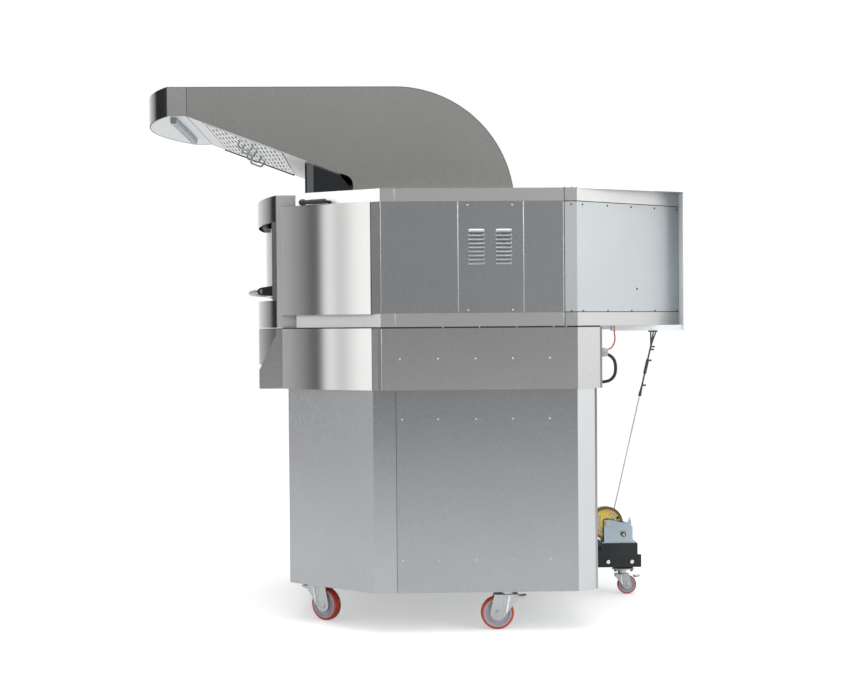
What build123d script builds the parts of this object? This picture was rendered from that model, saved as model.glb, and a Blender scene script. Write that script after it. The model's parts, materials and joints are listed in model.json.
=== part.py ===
from build123d import *
import math
import os

os.makedirs("parts", exist_ok=True)

# A deck oven on castors with an extraction hood, in millimetres.
# The mouth faces -X, the rear box faces +X and the floor is Z = 0.

# Sheet and clearances
sheet = 2.0
plate = 4.0
seam_gap = 1.5
body_gap = 0.4
running_fit = 0.08
seat_gap = 0.3

# Plan of the chamber shell, right hand half
half_width = 750.0
flat_front_x = -111.0
flat_rear_x = 616.0
front_corner_x = -488.0
front_corner_half = 520.0
fascia_end_x = -431.0
rear_end_x = 1056.0
rear_end_half = 452.0
lip_end_half = 560.0
band_rear_x = 708.0

# Heights
base_bottom_z = 152.0
base_top_z = 905.0
band_top_z = 1134.0
shell_bottom_z = 1138.0
rail_height = 50.0
roof_z = 1648.0
tray_bottom_z = 1117.0

# Base cabinet plan
base_inset = 20.0
base_flat_front_x = -142.0
base_front_x = -467.0
base_front_half = 473.0
base_corner_return = 84.0
frame_tube = 40.0

# Front of the oven
front_frame_x = -507.0
front_frame_half = 514.0
frame_opening_half = 420.0
nose_tip_x = -616.0
nose_end_x = -511.0
sill_rise = 106.0
visor_drop = 103.0
mouth_bottom_z = shell_bottom_z + sill_rise
mouth_top_z = roof_z - visor_drop
surround_sheet = 3.0
door_tip_x = -583.0
door_thickness = 14.0
door_axis_x = -572.0
door_recess_x = -455.0
door_handle_z = 1280.0
door_handle_reach = 32.0
door_handle_half = 440.0
handle_bar_radius = 9.0

# Louvres
louvre_panel_start = 177.0
louvre_panel_end = 417.0
louvre_columns = (244.0, 345.0)
louvre_rows = 9
louvre_pitch = 15.0
louvre_length = 58.0
louvre_height = 9.0
louvre_depth = 6.0
louvre_middle_z = 1432.5

# Cooking chamber
chamber_x = 180.0
chamber_radius = 590.0
lining = 3.0
chamber_floor_z = 1192.0
chamber_ceiling_z = 1560.0
deck_radius = 560.0
stone_thickness = 30.0
deck_clearance = 2.0
carrier_radius = 330.0
carrier_thickness = 8.0
shaft_radius = 20.0
element_radius = 5.0
top_element_drop = 30.0
top_element_radii = (240.0, 460.0)

# Hood
hood_half = 431.0
hood_top_z = 2075.0
hood_front_x = -932.0
hood_seam_x = -857.0
hood_nose_height = 113.0
hood_lip_z = hood_top_z - hood_nose_height
hood_tip_x = -1058.0
hood_arc_radius = 467.0
hood_rear_x = 415.0
hood_neck_x = -214.0
hood_neck_rise = 87.0
hood_neck_z = roof_z + hood_neck_rise
hood_neck_start_x = -251.0
hood_neck_radius = 40.0
filter_start_x = -800.0
filter_end_x = -490.0
filter_half = 395.0
filter_thickness = 14.0
filter_slats = 11
flue_front_x = -404.0
flue_half = 380.0
flue_corner = 34.0
lamp_x = -905.0
lamp_half = 395.0
lamp_radius = 15.0

# Castors
wheel_radius = 62.5
wheel_width = 34.0
small_wheel_radius = 40.0
small_wheel_width = 26.0
castor_plate_thickness = 4.0
front_castor_x = -331.0
front_castor_half = 449.0
rear_castor_x = 319.0
rear_castor_half = 655.0

# Winch at the rear
bracket_bottom_z = 122.0
bracket_step_z = 175.0
bracket_top_z = 222.0
bracket_half = 60.0
bracket_wall = 5.0
bracket_end_x = 974.0
winch_front_x = 820.0
winch_rear_x = 940.0
winch_half = 52.0
winch_plate = 4.0
drum_x = 832.0
drum_z = 305.0
gear_module = 2.5
gear_teeth = 50
pinion_teeth = 15
crank_slope = 33.5
flange_radius = 70.0
drum_core_radius = 17.5
rope_radius = 2.5
winding_loops = 10
winding_pitch = 5.6
crank_shaft_radius = 8.0
crank_arm = 160.0
hook_z = 836.0
sling_split_z = 1047.0
rope_top_x = 1047.0
hook_height = 10.0

# Leads behind the band
gland_inset = 110.0
gland_y = gland_inset - half_width
gland_z = 1037.0
gland_radius = 19.0
gland_length = 28.0
supply_cable_radius = 6.0
sensor_lead_radius = 2.5


def shifted_path(points, distance):
    """The open path moved to its left by a distance, with mitred corners."""
    normals = []
    for (x0, y0), (x1, y1) in zip(points, points[1:]):
        run = math.hypot(x1 - x0, y1 - y0)
        normals.append((-(y1 - y0) / run, (x1 - x0) / run))
    moved = []
    for index, (x, y) in enumerate(points):
        before = normals[max(index - 1, 0)]
        after = normals[min(index, len(normals) - 1)]
        scale = distance / (1 + before[0] * after[0] + before[1] * after[1])
        moved.append((x + scale * (before[0] + after[0]), y + scale * (before[1] + after[1])))
    return moved


def sheet_outline(points, thickness, z_low):
    """A bent sheet seen from above, as thick as asked to the left of its path."""
    loop = list(points) + shifted_path(points, thickness)[::-1]
    with BuildSketch(Plane.XY.offset(z_low)) as outline:
        with BuildLine():
            Polyline(*loop, close=True)
        make_face()
    return outline.sketch


def area_outline(points, z_low):
    """A closed area seen from above."""
    with BuildSketch(Plane.XY.offset(z_low)) as outline:
        with BuildLine():
            Polyline(*points, close=True)
        make_face()
    return outline.sketch


def side_outline(points, y_face):
    """A closed area in the XZ plane at a given Y, extruded along -Y by a positive amount."""
    with BuildSketch(Plane.XZ.offset(-y_face)) as outline:
        with BuildLine():
            Polyline(*points, close=True)
        make_face()
    return outline.sketch


def whole_area(half_path):
    """The right hand path joined to its mirror image."""
    return list(half_path) + [(x, -y) for x, y in half_path][::-1]


def save(solid, name):
    """Label one piece and write it as its own file."""
    solid.label = name
    export_step(solid, f"parts/{name}.step")


# Plan corners of the right hand side, from the front to the rear
flat_front = (flat_front_x, -half_width)
flat_rear = (flat_rear_x, -half_width)
front_corner = (front_corner_x, -front_corner_half)
rear_corner = (rear_end_x, -rear_end_half)
taper_slope = (half_width - rear_end_half) / (rear_end_x - flat_rear_x)
fascia_slope = (half_width - front_corner_half) / (flat_front_x - front_corner_x)
fascia_end = (fascia_end_x, -(half_width - fascia_slope * (flat_front_x - fascia_end_x)))
band_rear = (band_rear_x, -(half_width - taper_slope * (band_rear_x - flat_rear_x)))
base_half = half_width - base_inset
base_flat_front = (base_flat_front_x, -base_half)
base_front = (base_front_x, -base_front_half)
base_flat_rear = (flat_rear_x, -base_half)
base_rear_x = band_rear_x - base_inset
base_rear = (base_rear_x, -(base_half - taper_slope * (base_rear_x - flat_rear_x)))

# Base cabinet
base_right = [base_front, base_flat_front, base_flat_rear, base_rear]
base_inner = shifted_path(base_right, sheet)
base_height = base_top_z - base_bottom_z
ring_inner = shifted_path(base_right, sheet + frame_tube)
ring_cut_front = base_front_x + sheet + frame_tube
ring_cut_rear = base_rear_x - sheet - frame_tube
base_inner_face = [(base_front_x + sheet, base_inner[0][1])] + base_inner[1:-1]
base_inner_face += [(base_rear_x - sheet, base_inner[-1][1])]
ring_hole = [(ring_cut_front, ring_inner[0][1])] + ring_inner[1:-1] + [(ring_cut_rear, ring_inner[-1][1])]
post_spots = [
    (ring_cut_front, ring_inner[0][1]),
    ring_inner[1],
    ring_inner[2],
    (ring_cut_rear, ring_inner[-1][1]),
]

with BuildPart() as base_frame:
    extrude(area_outline(whole_area(base_inner_face), base_bottom_z), amount=plate)
    extrude(area_outline(whole_area(base_inner_face), base_top_z - plate), amount=plate)
    extrude(
        area_outline(whole_area(ring_hole), base_top_z - plate),
        amount=plate,
        mode=Mode.SUBTRACT,
    )
    post_height = base_height - 2 * plate
    for post_x, post_y in post_spots:
        with Locations((post_x, post_y, base_bottom_z + plate + post_height / 2)):
            Box(frame_tube, frame_tube, post_height)
    mirror(about=Plane.XZ)
save(base_frame.part, "base_frame")

with BuildPart() as base_corner_panels:
    corner_path = [base_front, base_flat_front, (base_flat_front_x + base_corner_return, -base_half)]
    extrude(sheet_outline(corner_path, sheet, base_bottom_z), amount=base_height)
    mirror(about=Plane.XZ)
save(base_corner_panels.part, "base_corner_panels")

with BuildPart() as base_side_panels:
    side_start = (base_flat_front_x + base_corner_return + seam_gap, -base_half)
    extrude(sheet_outline([side_start, base_flat_rear, base_rear], sheet, base_bottom_z), amount=base_height)
    mirror(about=Plane.XZ)
save(base_side_panels.part, "base_side_panels")

with BuildPart() as base_front_panel:
    with Locations((base_front_x - sheet / 2, 0, base_bottom_z + base_height / 2)):
        Box(sheet, 2 * base_front_half, base_height)
save(base_front_panel.part, "base_front_panel")

rear_flange = 8.0
with BuildPart() as base_rear_panel:
    with Locations((base_rear_x + rear_flange / 2, 0, base_bottom_z + base_height / 2)):
        Box(rear_flange, 2 * abs(base_rear[1]), base_height)
    with Locations((base_rear_x + (rear_flange - sheet) / 2 - sheet / 2, 0, base_bottom_z + base_height / 2)):
        Box(rear_flange - sheet, 2 * abs(base_rear[1]) - 2 * sheet, base_height - 2 * sheet, mode=Mode.SUBTRACT)
save(base_rear_panel.part, "base_rear_panel")

# Band between the base and the chamber
band_right = [front_corner, flat_front, flat_rear, band_rear]
band_inner = shifted_path(band_right, sheet)
band_hole = shifted_path(band_right, sheet + frame_tube)
band_height = band_top_z - base_top_z
band_front_inner_x = front_corner_x + sheet
band_plan = [(band_front_inner_x, band_inner[0][1])] + band_inner[1:-1]
band_plan += [(band_rear_x - sheet, band_inner[-1][1])]
band_hole_plan = [(band_front_inner_x + frame_tube, band_hole[0][1])] + band_hole[1:-1]
band_hole_plan += [(band_rear_x - sheet - frame_tube, band_hole[-1][1])]
motor_width = 150.0

with BuildPart() as band_frame:
    extrude(area_outline(whole_area(band_plan), base_top_z), amount=plate)
    extrude(area_outline(whole_area(band_hole_plan), base_top_z), amount=plate, mode=Mode.SUBTRACT)
    extrude(area_outline(whole_area(band_plan), band_top_z - plate), amount=plate)
    extrude(area_outline(whole_area(band_hole_plan), band_top_z - plate), amount=plate, mode=Mode.SUBTRACT)
    beam_front = band_front_inner_x + frame_tube / 2
    beam_rear = band_rear_x - sheet - frame_tube / 2
    for beam_side in (-1, 1):
        beam_y = beam_side * (motor_width + frame_tube) / 2
        with Locations(((beam_front + beam_rear) / 2, beam_y, band_top_z - frame_tube / 2)):
            Box(beam_rear - beam_front, frame_tube, frame_tube)
    band_post_z = base_top_z + band_height / 2
    band_post_height = band_height - 2 * plate
    for post_x, post_y in (band_hole_plan[0], band_hole_plan[1], band_hole_plan[2], band_hole_plan[3]):
        with Locations((post_x, post_y, band_post_z)):
            Box(frame_tube, frame_tube, band_post_height)
    mirror(about=Plane.XZ)
save(band_frame.part, "band_frame")

# The polished front panels bulge gently between their two ends
curve_bulge = 14.0
strip_width = 34.0
strip_turn = math.radians(17.0)
chord_run = math.hypot(flat_front_x - front_corner_x, half_width - front_corner_half)
along = ((flat_front_x - front_corner_x) / chord_run, -(half_width - front_corner_half) / chord_run)
outward = (along[1], -along[0])
strip_run = (
    -along[0] * math.cos(strip_turn) + outward[0] * math.sin(strip_turn),
    -along[1] * math.cos(strip_turn) + outward[1] * math.sin(strip_turn),
)
strip_end = (flat_front_x + strip_run[0] * strip_width, -half_width + strip_run[1] * strip_width)
strip_proud = strip_width * math.sin(strip_turn)
curve_end = (strip_end[0] - along[0] * seam_gap, strip_end[1] - along[1] * seam_gap)


def curved_outline(lift, z_low):
    """The front side panel seen from above: an arc from the front corner to the corner strip."""
    start = (front_corner[0] + outward[0] * lift, front_corner[1] + outward[1] * lift)
    end = (curve_end[0] + outward[0] * lift, curve_end[1] + outward[1] * lift)
    middle = (
        (start[0] + end[0]) / 2 + outward[0] * curve_bulge,
        (start[1] + end[1]) / 2 + outward[1] * curve_bulge,
    )
    back = (outward[0] * sheet, outward[1] * sheet)
    with BuildSketch(Plane.XY.offset(z_low)) as outline:
        with BuildLine():
            ThreePointArc(start, middle, end)
            Line(end, (end[0] - back[0], end[1] - back[1]))
            ThreePointArc(
                (end[0] - back[0], end[1] - back[1]),
                (middle[0] - back[0], middle[1] - back[1]),
                (start[0] - back[0], start[1] - back[1]),
            )
            Line((start[0] - back[0], start[1] - back[1]), start)
        make_face()
    return outline.sketch


panel_lift = 3.0
with BuildPart() as band_front_panels:
    extrude(curved_outline(0, base_top_z), amount=band_height)
    mirror(about=Plane.XZ)
save(band_front_panels.part, "band_front_panels")

with BuildPart() as band_side_panels:
    extrude(sheet_outline([strip_end, flat_front, flat_rear, band_rear], sheet, base_top_z), amount=band_height)
    mirror(about=Plane.XZ)
save(band_side_panels.part, "band_side_panels")

with BuildPart() as band_rear_panel:
    with Locations((band_rear_x + rear_flange / 2, 0, base_top_z + band_height / 2)):
        Box(rear_flange, 2 * abs(band_rear[1]), band_height)
    with Locations((band_rear_x + (rear_flange - sheet) / 2 - sheet / 2, 0, base_top_z + band_height / 2)):
        Box(rear_flange - sheet, 2 * abs(band_rear[1]) - 2 * sheet, band_height - 2 * sheet, mode=Mode.SUBTRACT)
save(band_rear_panel.part, "band_rear_panel")

# Front apron with its slanted side cheeks
apron_bottom_z = 990.0
cheek_front_x = -578.0
cheek_step_z = 977.0
nose_half = 511.0
nose_depth = nose_end_x - nose_tip_x


def nose_x(y, tip_x):
    """Where the bowed front lies at a given Y, for a front whose middle is at tip_x."""
    radius = (nose_half**2 + nose_depth**2) / (2 * nose_depth)
    return tip_x + radius - math.sqrt(radius**2 - y**2)


def bowed_outline(tip_x, half, thickness, z_low):
    """A bowed sheet seen from above, as wide as asked on each side."""
    with BuildSketch(Plane.XY.offset(z_low)) as outline:
        with BuildLine():
            ThreePointArc((nose_x(half, tip_x), -half), (tip_x, 0), (nose_x(half, tip_x), half))
            Line((nose_x(half, tip_x), half), (nose_x(half, tip_x) + thickness, half))
            ThreePointArc(
                (nose_x(half, tip_x) + thickness, half),
                (tip_x + thickness, 0),
                (nose_x(half, tip_x) + thickness, -half),
            )
            Line((nose_x(half, tip_x) + thickness, -half), (nose_x(half, tip_x), -half))
        make_face()
    return outline.sketch


def bowed_area(tip_x, half, rear_x, z_low):
    """The area between the bowed front and a straight line behind it."""
    with BuildSketch(Plane.XY.offset(z_low)) as outline:
        with BuildLine():
            ThreePointArc((nose_x(half, tip_x), -half), (tip_x, 0), (nose_x(half, tip_x), half))
            Polyline(
                (nose_x(half, tip_x), half),
                (rear_x, half),
                (rear_x, -half),
                (nose_x(half, tip_x), -half),
            )
        make_face()
    return outline.sketch


apron_half = 506.0
with BuildPart() as front_apron:
    extrude(bowed_area(nose_tip_x, apron_half, front_corner_x, apron_bottom_z), amount=band_top_z - apron_bottom_z)
    extrude(
        bowed_area(
            nose_tip_x + surround_sheet,
            apron_half - surround_sheet,
            front_corner_x - surround_sheet,
            apron_bottom_z + surround_sheet,
        ),
        amount=band_top_z - apron_bottom_z,
        mode=Mode.SUBTRACT,
    )
    cheek_points = [
        (front_frame_x + 6, band_top_z),
        (cheek_front_x, cheek_step_z),
        (cheek_front_x, base_top_z),
        (front_corner_x, base_top_z),
        (front_corner_x, band_top_z),
    ]
    extrude(side_outline(cheek_points, -apron_half), amount=sheet)
    with Locations((front_corner_x + sheet / 2, 0, (band_top_z + base_top_z) / 2)):
        Box(sheet, 2 * apron_half + 2 * sheet, band_height)
    mirror(about=Plane.XZ)
save(front_apron.part, "front_apron")

# Chamber shell: lower rail pan, roof cover and the panels between them
rail_top_z = shell_bottom_z + rail_height
fascia_bottom_z = roof_z - rail_height + 2
shell_right = [fascia_end, flat_front, flat_rear, rear_corner]
shell_inner = shifted_path(shell_right, sheet)
shell_area = [(fascia_end_x, shell_inner[0][1])] + shell_inner[1:-1] + [(rear_end_x, shell_inner[-1][1])]
seal_height = shell_bottom_z - band_top_z
panel_inset = 1.0
lap_height = 12.0
lap_outer = shifted_path(shell_right, sheet)
lap_inner = shifted_path(shell_right, sheet + panel_inset)
seal_width = 12.0
shaft_hole = shaft_radius + 8

with BuildPart() as lower_rail:
    extrude(area_outline(whole_area(shell_area), shell_bottom_z), amount=sheet)
    extrude(sheet_outline(shell_right, sheet, shell_bottom_z), amount=rail_height)
    extrude(sheet_outline(lap_outer, sheet + panel_inset, rail_top_z - lap_height), amount=lap_height)
    extrude(sheet_outline(lap_inner, sheet, rail_top_z), amount=lap_height)
    seal_outer = shifted_path(band_right[1:3], sheet + seal_width)
    extrude(sheet_outline(seal_outer, seal_width, band_top_z), amount=seal_height)
    mirror(about=Plane.XZ)
    with Locations((chamber_x, 0, shell_bottom_z + sheet / 2)):
        Cylinder(shaft_hole, 4 * sheet, mode=Mode.SUBTRACT)
save(lower_rail.part, "lower_rail")

with BuildPart() as roof_cover:
    lip_right = [shell_right[0], flat_front, flat_rear, (rear_end_x, -lip_end_half)]
    extrude(area_outline(whole_area(lip_right), roof_z - sheet), amount=sheet)
    extrude(sheet_outline(shell_right, sheet, fascia_bottom_z), amount=roof_z - sheet - fascia_bottom_z)
    extrude(sheet_outline(lap_outer, sheet + panel_inset, fascia_bottom_z), amount=lap_height)
    extrude(sheet_outline(lap_inner, sheet, fascia_bottom_z - lap_height), amount=lap_height)
    mirror(about=Plane.XZ)
save(roof_cover.part, "roof_cover")

panel_low = rail_top_z + seam_gap
panel_high = fascia_bottom_z - seam_gap
panel_height = panel_high - panel_low

with BuildPart() as housing_front_panels:
    front_panel_height = fascia_bottom_z - rail_top_z + sheet
    extrude(curved_outline(panel_lift + sheet, rail_top_z - sheet), amount=front_panel_height)
    flange_start = front_corner[1] + outward[1] * (panel_lift + sheet) + 1
    flange_length = -front_frame_half - flange_start
    flange_x = front_corner[0] + outward[0] * (panel_lift + sheet) + 1
    with Locations((flange_x, flange_start + flange_length / 2, rail_top_z - sheet + front_panel_height / 2)):
        Box(sheet, flange_length, front_panel_height)
    rear_flange_spot = (
        curve_end[0] - along[0] + outward[0] * (panel_lift - strip_proud) / 2,
        curve_end[1] - along[1] + outward[1] * (panel_lift - strip_proud) / 2,
        rail_top_z - sheet + front_panel_height / 2,
    )
    with Locations(Location(rear_flange_spot, (0, 0, math.degrees(math.atan2(along[1], along[0]))))):
        Box(sheet, panel_lift + strip_proud, front_panel_height)
    mirror(about=Plane.XZ)
save(housing_front_panels.part, "housing_front_panels")

recessed_right = shifted_path([strip_end, flat_front, flat_rear, rear_corner], panel_inset)
post_depth = 30.0
rear_return = 46.0
with BuildPart() as housing_side_panels:
    front_side = [recessed_right[0], recessed_right[1], (louvre_panel_start - seam_gap, recessed_right[1][1])]
    extrude(sheet_outline(front_side, sheet, panel_low), amount=panel_height)
    rear_side = [
        (louvre_panel_end + seam_gap, recessed_right[1][1]),
        (flat_rear_x - rear_return - seam_gap, recessed_right[1][1]),
    ]
    extrude(sheet_outline(rear_side, sheet, panel_low), amount=panel_height)
    mirror(about=Plane.XZ)
save(housing_side_panels.part, "housing_side_panels")

louvre_face_y = recessed_right[1][1]
with BuildPart() as louvre_panels:
    louvre_width = louvre_panel_end - louvre_panel_start
    with Locations(((louvre_panel_start + louvre_panel_end) / 2, louvre_face_y + sheet / 2, panel_low + panel_height / 2)):
        Box(louvre_width, sheet, panel_height)
    for louvre_x in louvre_columns:
        for row in range(louvre_rows):
            louvre_z = louvre_middle_z + (row - (louvre_rows - 1) / 2) * louvre_pitch
            with Locations((louvre_x, louvre_face_y, louvre_z - 1)):
                Box(louvre_length - 8, 4 * sheet, louvre_height - 4, mode=Mode.SUBTRACT)
            with BuildSketch(Plane.YZ.offset(louvre_x - louvre_length / 2)):
                with BuildLine():
                    Polyline(
                        (louvre_face_y, louvre_z + louvre_height / 2),
                        (louvre_face_y - louvre_depth, louvre_z - louvre_height / 2 + 3),
                        (louvre_face_y - louvre_depth, louvre_z - louvre_height / 2 + 1.6),
                        (louvre_face_y, louvre_z + louvre_height / 2 - 2.2),
                        close=True,
                    )
                make_face()
            extrude(amount=louvre_length)
    mirror(about=Plane.XZ)
save(louvre_panels.part, "louvre_panels")

with BuildPart() as rear_taper_panels:
    taper_path = [(flat_rear_x - rear_return, recessed_right[2][1]), recessed_right[2], recessed_right[3]]
    extrude(sheet_outline(taper_path, sheet, panel_low), amount=panel_height)
    mirror(about=Plane.XZ)
save(rear_taper_panels.part, "rear_taper_panels")

# Rear plate with the shallow tray folded under the rear box
tray_start_x = 782.0
tray_half = 520.0
rear_plate_half = 530.0
tray_side_width = 50.0
tray_rear_depth = 40.0


def tray_outline(inset):
    """The channel under the rear box seen from above: two side arms and a rear arm, moved in by an inset."""
    front = tray_start_x + inset
    rear = rear_end_x - inset
    side = tray_half - inset
    inner_side = tray_half - tray_side_width + inset
    inner_rear = rear_end_x - tray_rear_depth + inset
    return [
        (front, -side),
        (rear, -side),
        (rear, side),
        (front, side),
        (front, inner_side),
        (inner_rear, inner_side),
        (inner_rear, -inner_side),
        (front, -inner_side),
    ]


with BuildPart() as rear_plate:
    with Locations((rear_end_x + sheet / 2, 0, (roof_z + tray_bottom_z) / 2)):
        Box(sheet, 2 * rear_plate_half, roof_z - tray_bottom_z)
    tray_height = shell_bottom_z - tray_bottom_z
    extrude(area_outline(tray_outline(0), tray_bottom_z), amount=tray_height)
    extrude(area_outline(tray_outline(sheet), tray_bottom_z + sheet), amount=tray_height, mode=Mode.SUBTRACT)
save(rear_plate.part, "rear_plate")

# Structural front frame behind the bowed surround
front_frame_rear_x = fascia_end_x - body_gap
with BuildPart() as front_frame:
    frame_depth = front_frame_rear_x - front_frame_x
    frame_height = roof_z - 3 - shell_bottom_z
    with Locations(((front_frame_x + front_frame_rear_x) / 2, 0, shell_bottom_z + frame_height / 2)):
        Box(frame_depth, 2 * front_frame_half, frame_height)
    opening_height = mouth_top_z - mouth_bottom_z
    with Locations(((front_frame_x + front_frame_rear_x) / 2, 0, mouth_bottom_z + opening_height / 2)):
        Box(frame_depth + 2, 2 * frame_opening_half, opening_height, mode=Mode.SUBTRACT)
    recess_depth = door_recess_x - front_frame_x + 1
    with Locations((door_recess_x - recess_depth / 2, 0, mouth_bottom_z + opening_height / 2)):
        Box(recess_depth, 2 * front_frame_half - 14, opening_height, mode=Mode.SUBTRACT)
save(front_frame.part, "front_frame")

surround_half = nose_half
with BuildPart() as mouth_surround:
    visor_height = roof_z - 3 - mouth_top_z
    sill_height = mouth_bottom_z - shell_bottom_z
    surround_back_x = front_frame_x - seat_gap
    extrude(bowed_area(nose_tip_x, surround_half, surround_back_x, shell_bottom_z), amount=sill_height)
    extrude(
        bowed_area(nose_tip_x + surround_sheet, surround_half - surround_sheet, surround_back_x, shell_bottom_z),
        amount=sill_height - surround_sheet,
        mode=Mode.SUBTRACT,
    )
    extrude(bowed_area(nose_tip_x, surround_half, surround_back_x, mouth_top_z), amount=visor_height)
    extrude(
        bowed_area(nose_tip_x + surround_sheet, surround_half - surround_sheet, surround_back_x, mouth_top_z),
        amount=visor_height - surround_sheet,
        mode=Mode.SUBTRACT,
    )
    jamb_end_x = nose_x(surround_half, nose_tip_x) + surround_sheet
    for side in (-1, 1):
        with Locations(((front_frame_x - seat_gap - 9), side * (surround_half - surround_sheet / 2),
                        (mouth_bottom_z + mouth_top_z) / 2)):
            Box(18, surround_sheet, opening_height)
save(mouth_surround.part, "mouth_surround")

# Door hung from two lugs inside the visor
door_half = surround_half - surround_sheet - 1
door_bottom_z = mouth_bottom_z + 16
door_top_z = mouth_top_z - 13
door_axis_z = mouth_top_z - 4
hinge_pin_radius = 5.0
hinge_y = 230.0
knuckle_length = 40.0
lug_thickness = 6.0

with BuildPart() as door_hinges:
    for side in (-1, 1):
        for end in (-1, 1):
            lug_y = side * hinge_y + end * (knuckle_length / 2 + lug_thickness / 2 + body_gap)
            with Locations((door_axis_x, lug_y, (door_axis_z - 7 + roof_z - 6) / 2)):
                Box(14, lug_thickness, roof_z - 6 - door_axis_z + 7)
        with Locations(Location((door_axis_x, side * hinge_y, door_axis_z), (90, 0, 0))):
            Cylinder(hinge_pin_radius, knuckle_length + 2 * lug_thickness + 2 * body_gap)
save(door_hinges.part, "door_hinges")

door_back_tip = door_tip_x + door_thickness
with BuildPart() as oven_door:
    extrude(bowed_outline(door_tip_x, door_half, door_thickness, door_bottom_z), amount=door_top_z - door_bottom_z)
    extrude(
        bowed_outline(door_tip_x + sheet, door_half - sheet, door_thickness - 2 * sheet, door_bottom_z + sheet),
        amount=door_top_z - door_bottom_z - 2 * sheet,
        mode=Mode.SUBTRACT,
    )
    for side in (-1, 1):
        with Locations(Location((door_axis_x, side * hinge_y, door_axis_z), (90, 0, 0))):
            Cylinder(11, knuckle_length)
        with Locations((door_axis_x + 9, side * hinge_y, door_axis_z - 13)):
            Box(24, knuckle_length, 16)
        with Locations(Location((door_axis_x, side * hinge_y, door_axis_z), (90, 0, 0))):
            Cylinder(hinge_pin_radius + running_fit, knuckle_length + 2, mode=Mode.SUBTRACT)
save(oven_door.part, "oven_door")

handle_tip_x = nose_tip_x - door_handle_reach
with BuildPart() as door_handle:
    bar_plane = Plane(
        origin=(nose_x(door_handle_half, handle_tip_x), -door_handle_half, door_handle_z),
        x_dir=(0, 0, 1),
        z_dir=(0, 1, 0),
    )
    with BuildLine() as bar_path:
        ThreePointArc(
            (nose_x(door_handle_half, handle_tip_x), -door_handle_half, door_handle_z),
            (handle_tip_x, 0, door_handle_z),
            (nose_x(door_handle_half, handle_tip_x), door_handle_half, door_handle_z),
        )
    with BuildSketch(Plane(bar_path.line @ 0, z_dir=bar_path.line % 0)):
        Circle(handle_bar_radius)
    sweep(path=bar_path.line)
    for side in (-1, 1):
        bracket_y = side * (door_handle_half - 14)
        door_face_x = nose_x(bracket_y, door_tip_x)
        bar_x = nose_x(bracket_y, handle_tip_x)
        with BuildSketch(Plane.XZ.offset(-bracket_y - 14)):
            with BuildLine():
                Polyline(
                    (door_face_x + 1, door_handle_z + 24),
                    (bar_x - 4, door_handle_z + 13),
                    (bar_x - 13, door_handle_z),
                    (bar_x - 4, door_handle_z - 13),
                    (door_face_x + 1, door_handle_z - 20),
                    close=True,
                )
            make_face()
        extrude(amount=28)
    extrude(
        bowed_outline(door_tip_x, door_half, door_thickness, door_bottom_z),
        amount=door_top_z - door_bottom_z,
        mode=Mode.SUBTRACT,
    )
save(door_handle.part, "door_handle")

# Cooking chamber with its throat to the mouth
throat_half = frame_opening_half - 4
with BuildPart() as chamber_lining:
    lining_height = chamber_ceiling_z - chamber_floor_z
    lining_middle_z = (chamber_ceiling_z + chamber_floor_z) / 2
    throat_front_x = fascia_end_x
    with Locations((chamber_x, 0, lining_middle_z)):
        Cylinder(chamber_radius + lining, lining_height + 2 * lining)
    throat_length = chamber_x - throat_front_x
    with Locations((throat_front_x + throat_length / 2, 0, (mouth_bottom_z + mouth_top_z) / 2)):
        Box(throat_length, 2 * throat_half + 2 * lining, opening_height + 2 * lining)
    with Locations((chamber_x, 0, lining_middle_z)):
        Cylinder(chamber_radius, lining_height, mode=Mode.SUBTRACT)
    with Locations((throat_front_x + throat_length / 2, 0, (mouth_bottom_z + mouth_top_z) / 2)):
        Box(throat_length + 2, 2 * throat_half, opening_height, mode=Mode.SUBTRACT)
    with Locations((chamber_x, 0, chamber_floor_z)):
        Cylinder(shaft_radius + 3, 6 * lining, mode=Mode.SUBTRACT)
    leg_height = chamber_floor_z - lining - shell_bottom_z - sheet
    for leg in range(6):
        angle = math.radians(30 + 60 * leg)
        leg_x = chamber_x + 0.8 * chamber_radius * math.cos(angle)
        leg_y = 0.8 * chamber_radius * math.sin(angle)
        with Locations((leg_x, leg_y, shell_bottom_z + sheet + leg_height / 2)):
            Box(frame_tube, frame_tube, leg_height)
save(chamber_lining.part, "chamber_lining")

stone_bottom_z = mouth_bottom_z - stone_thickness
carrier_bottom_z = stone_bottom_z - carrier_thickness
with BuildPart() as deck_stone:
    with Locations((chamber_x, 0, stone_bottom_z + stone_thickness / 2)):
        Cylinder(deck_radius, stone_thickness)
    chamfer(deck_stone.edges().filter_by(GeomType.CIRCLE), 4)
save(deck_stone.part, "deck_stone")

motor_top_z = shell_bottom_z
shaft_bottom_z = motor_top_z - 60
with BuildPart() as deck_carrier:
    with Locations((chamber_x, 0, carrier_bottom_z + carrier_thickness / 2)):
        Cylinder(carrier_radius, carrier_thickness)
    for spoke in range(6):
        angle = math.radians(60 * spoke)
        hole_x = chamber_x + 0.6 * carrier_radius * math.cos(angle)
        hole_y = 0.6 * carrier_radius * math.sin(angle)
        with Locations((hole_x, hole_y, carrier_bottom_z + carrier_thickness / 2)):
            Cylinder(55, 2 * carrier_thickness, mode=Mode.SUBTRACT)
    with Locations((chamber_x, 0, (carrier_bottom_z + shaft_bottom_z) / 2)):
        Cylinder(shaft_radius, carrier_bottom_z - shaft_bottom_z)
save(deck_carrier.part, "deck_carrier")

with BuildPart() as gearmotor:
    box_height = 90.0
    with Locations((chamber_x, 0, motor_top_z - box_height / 2)):
        Box(170, motor_width, box_height)
    with Locations(Location((chamber_x + 85 + 80, 0, motor_top_z - 50), (0, 90, 0))):
        Cylinder(48, 160)
    with Locations((chamber_x, 0, motor_top_z - 30)):
        Cylinder(shaft_radius + running_fit, 64, mode=Mode.SUBTRACT)
save(gearmotor.part, "gearmotor")

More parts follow.
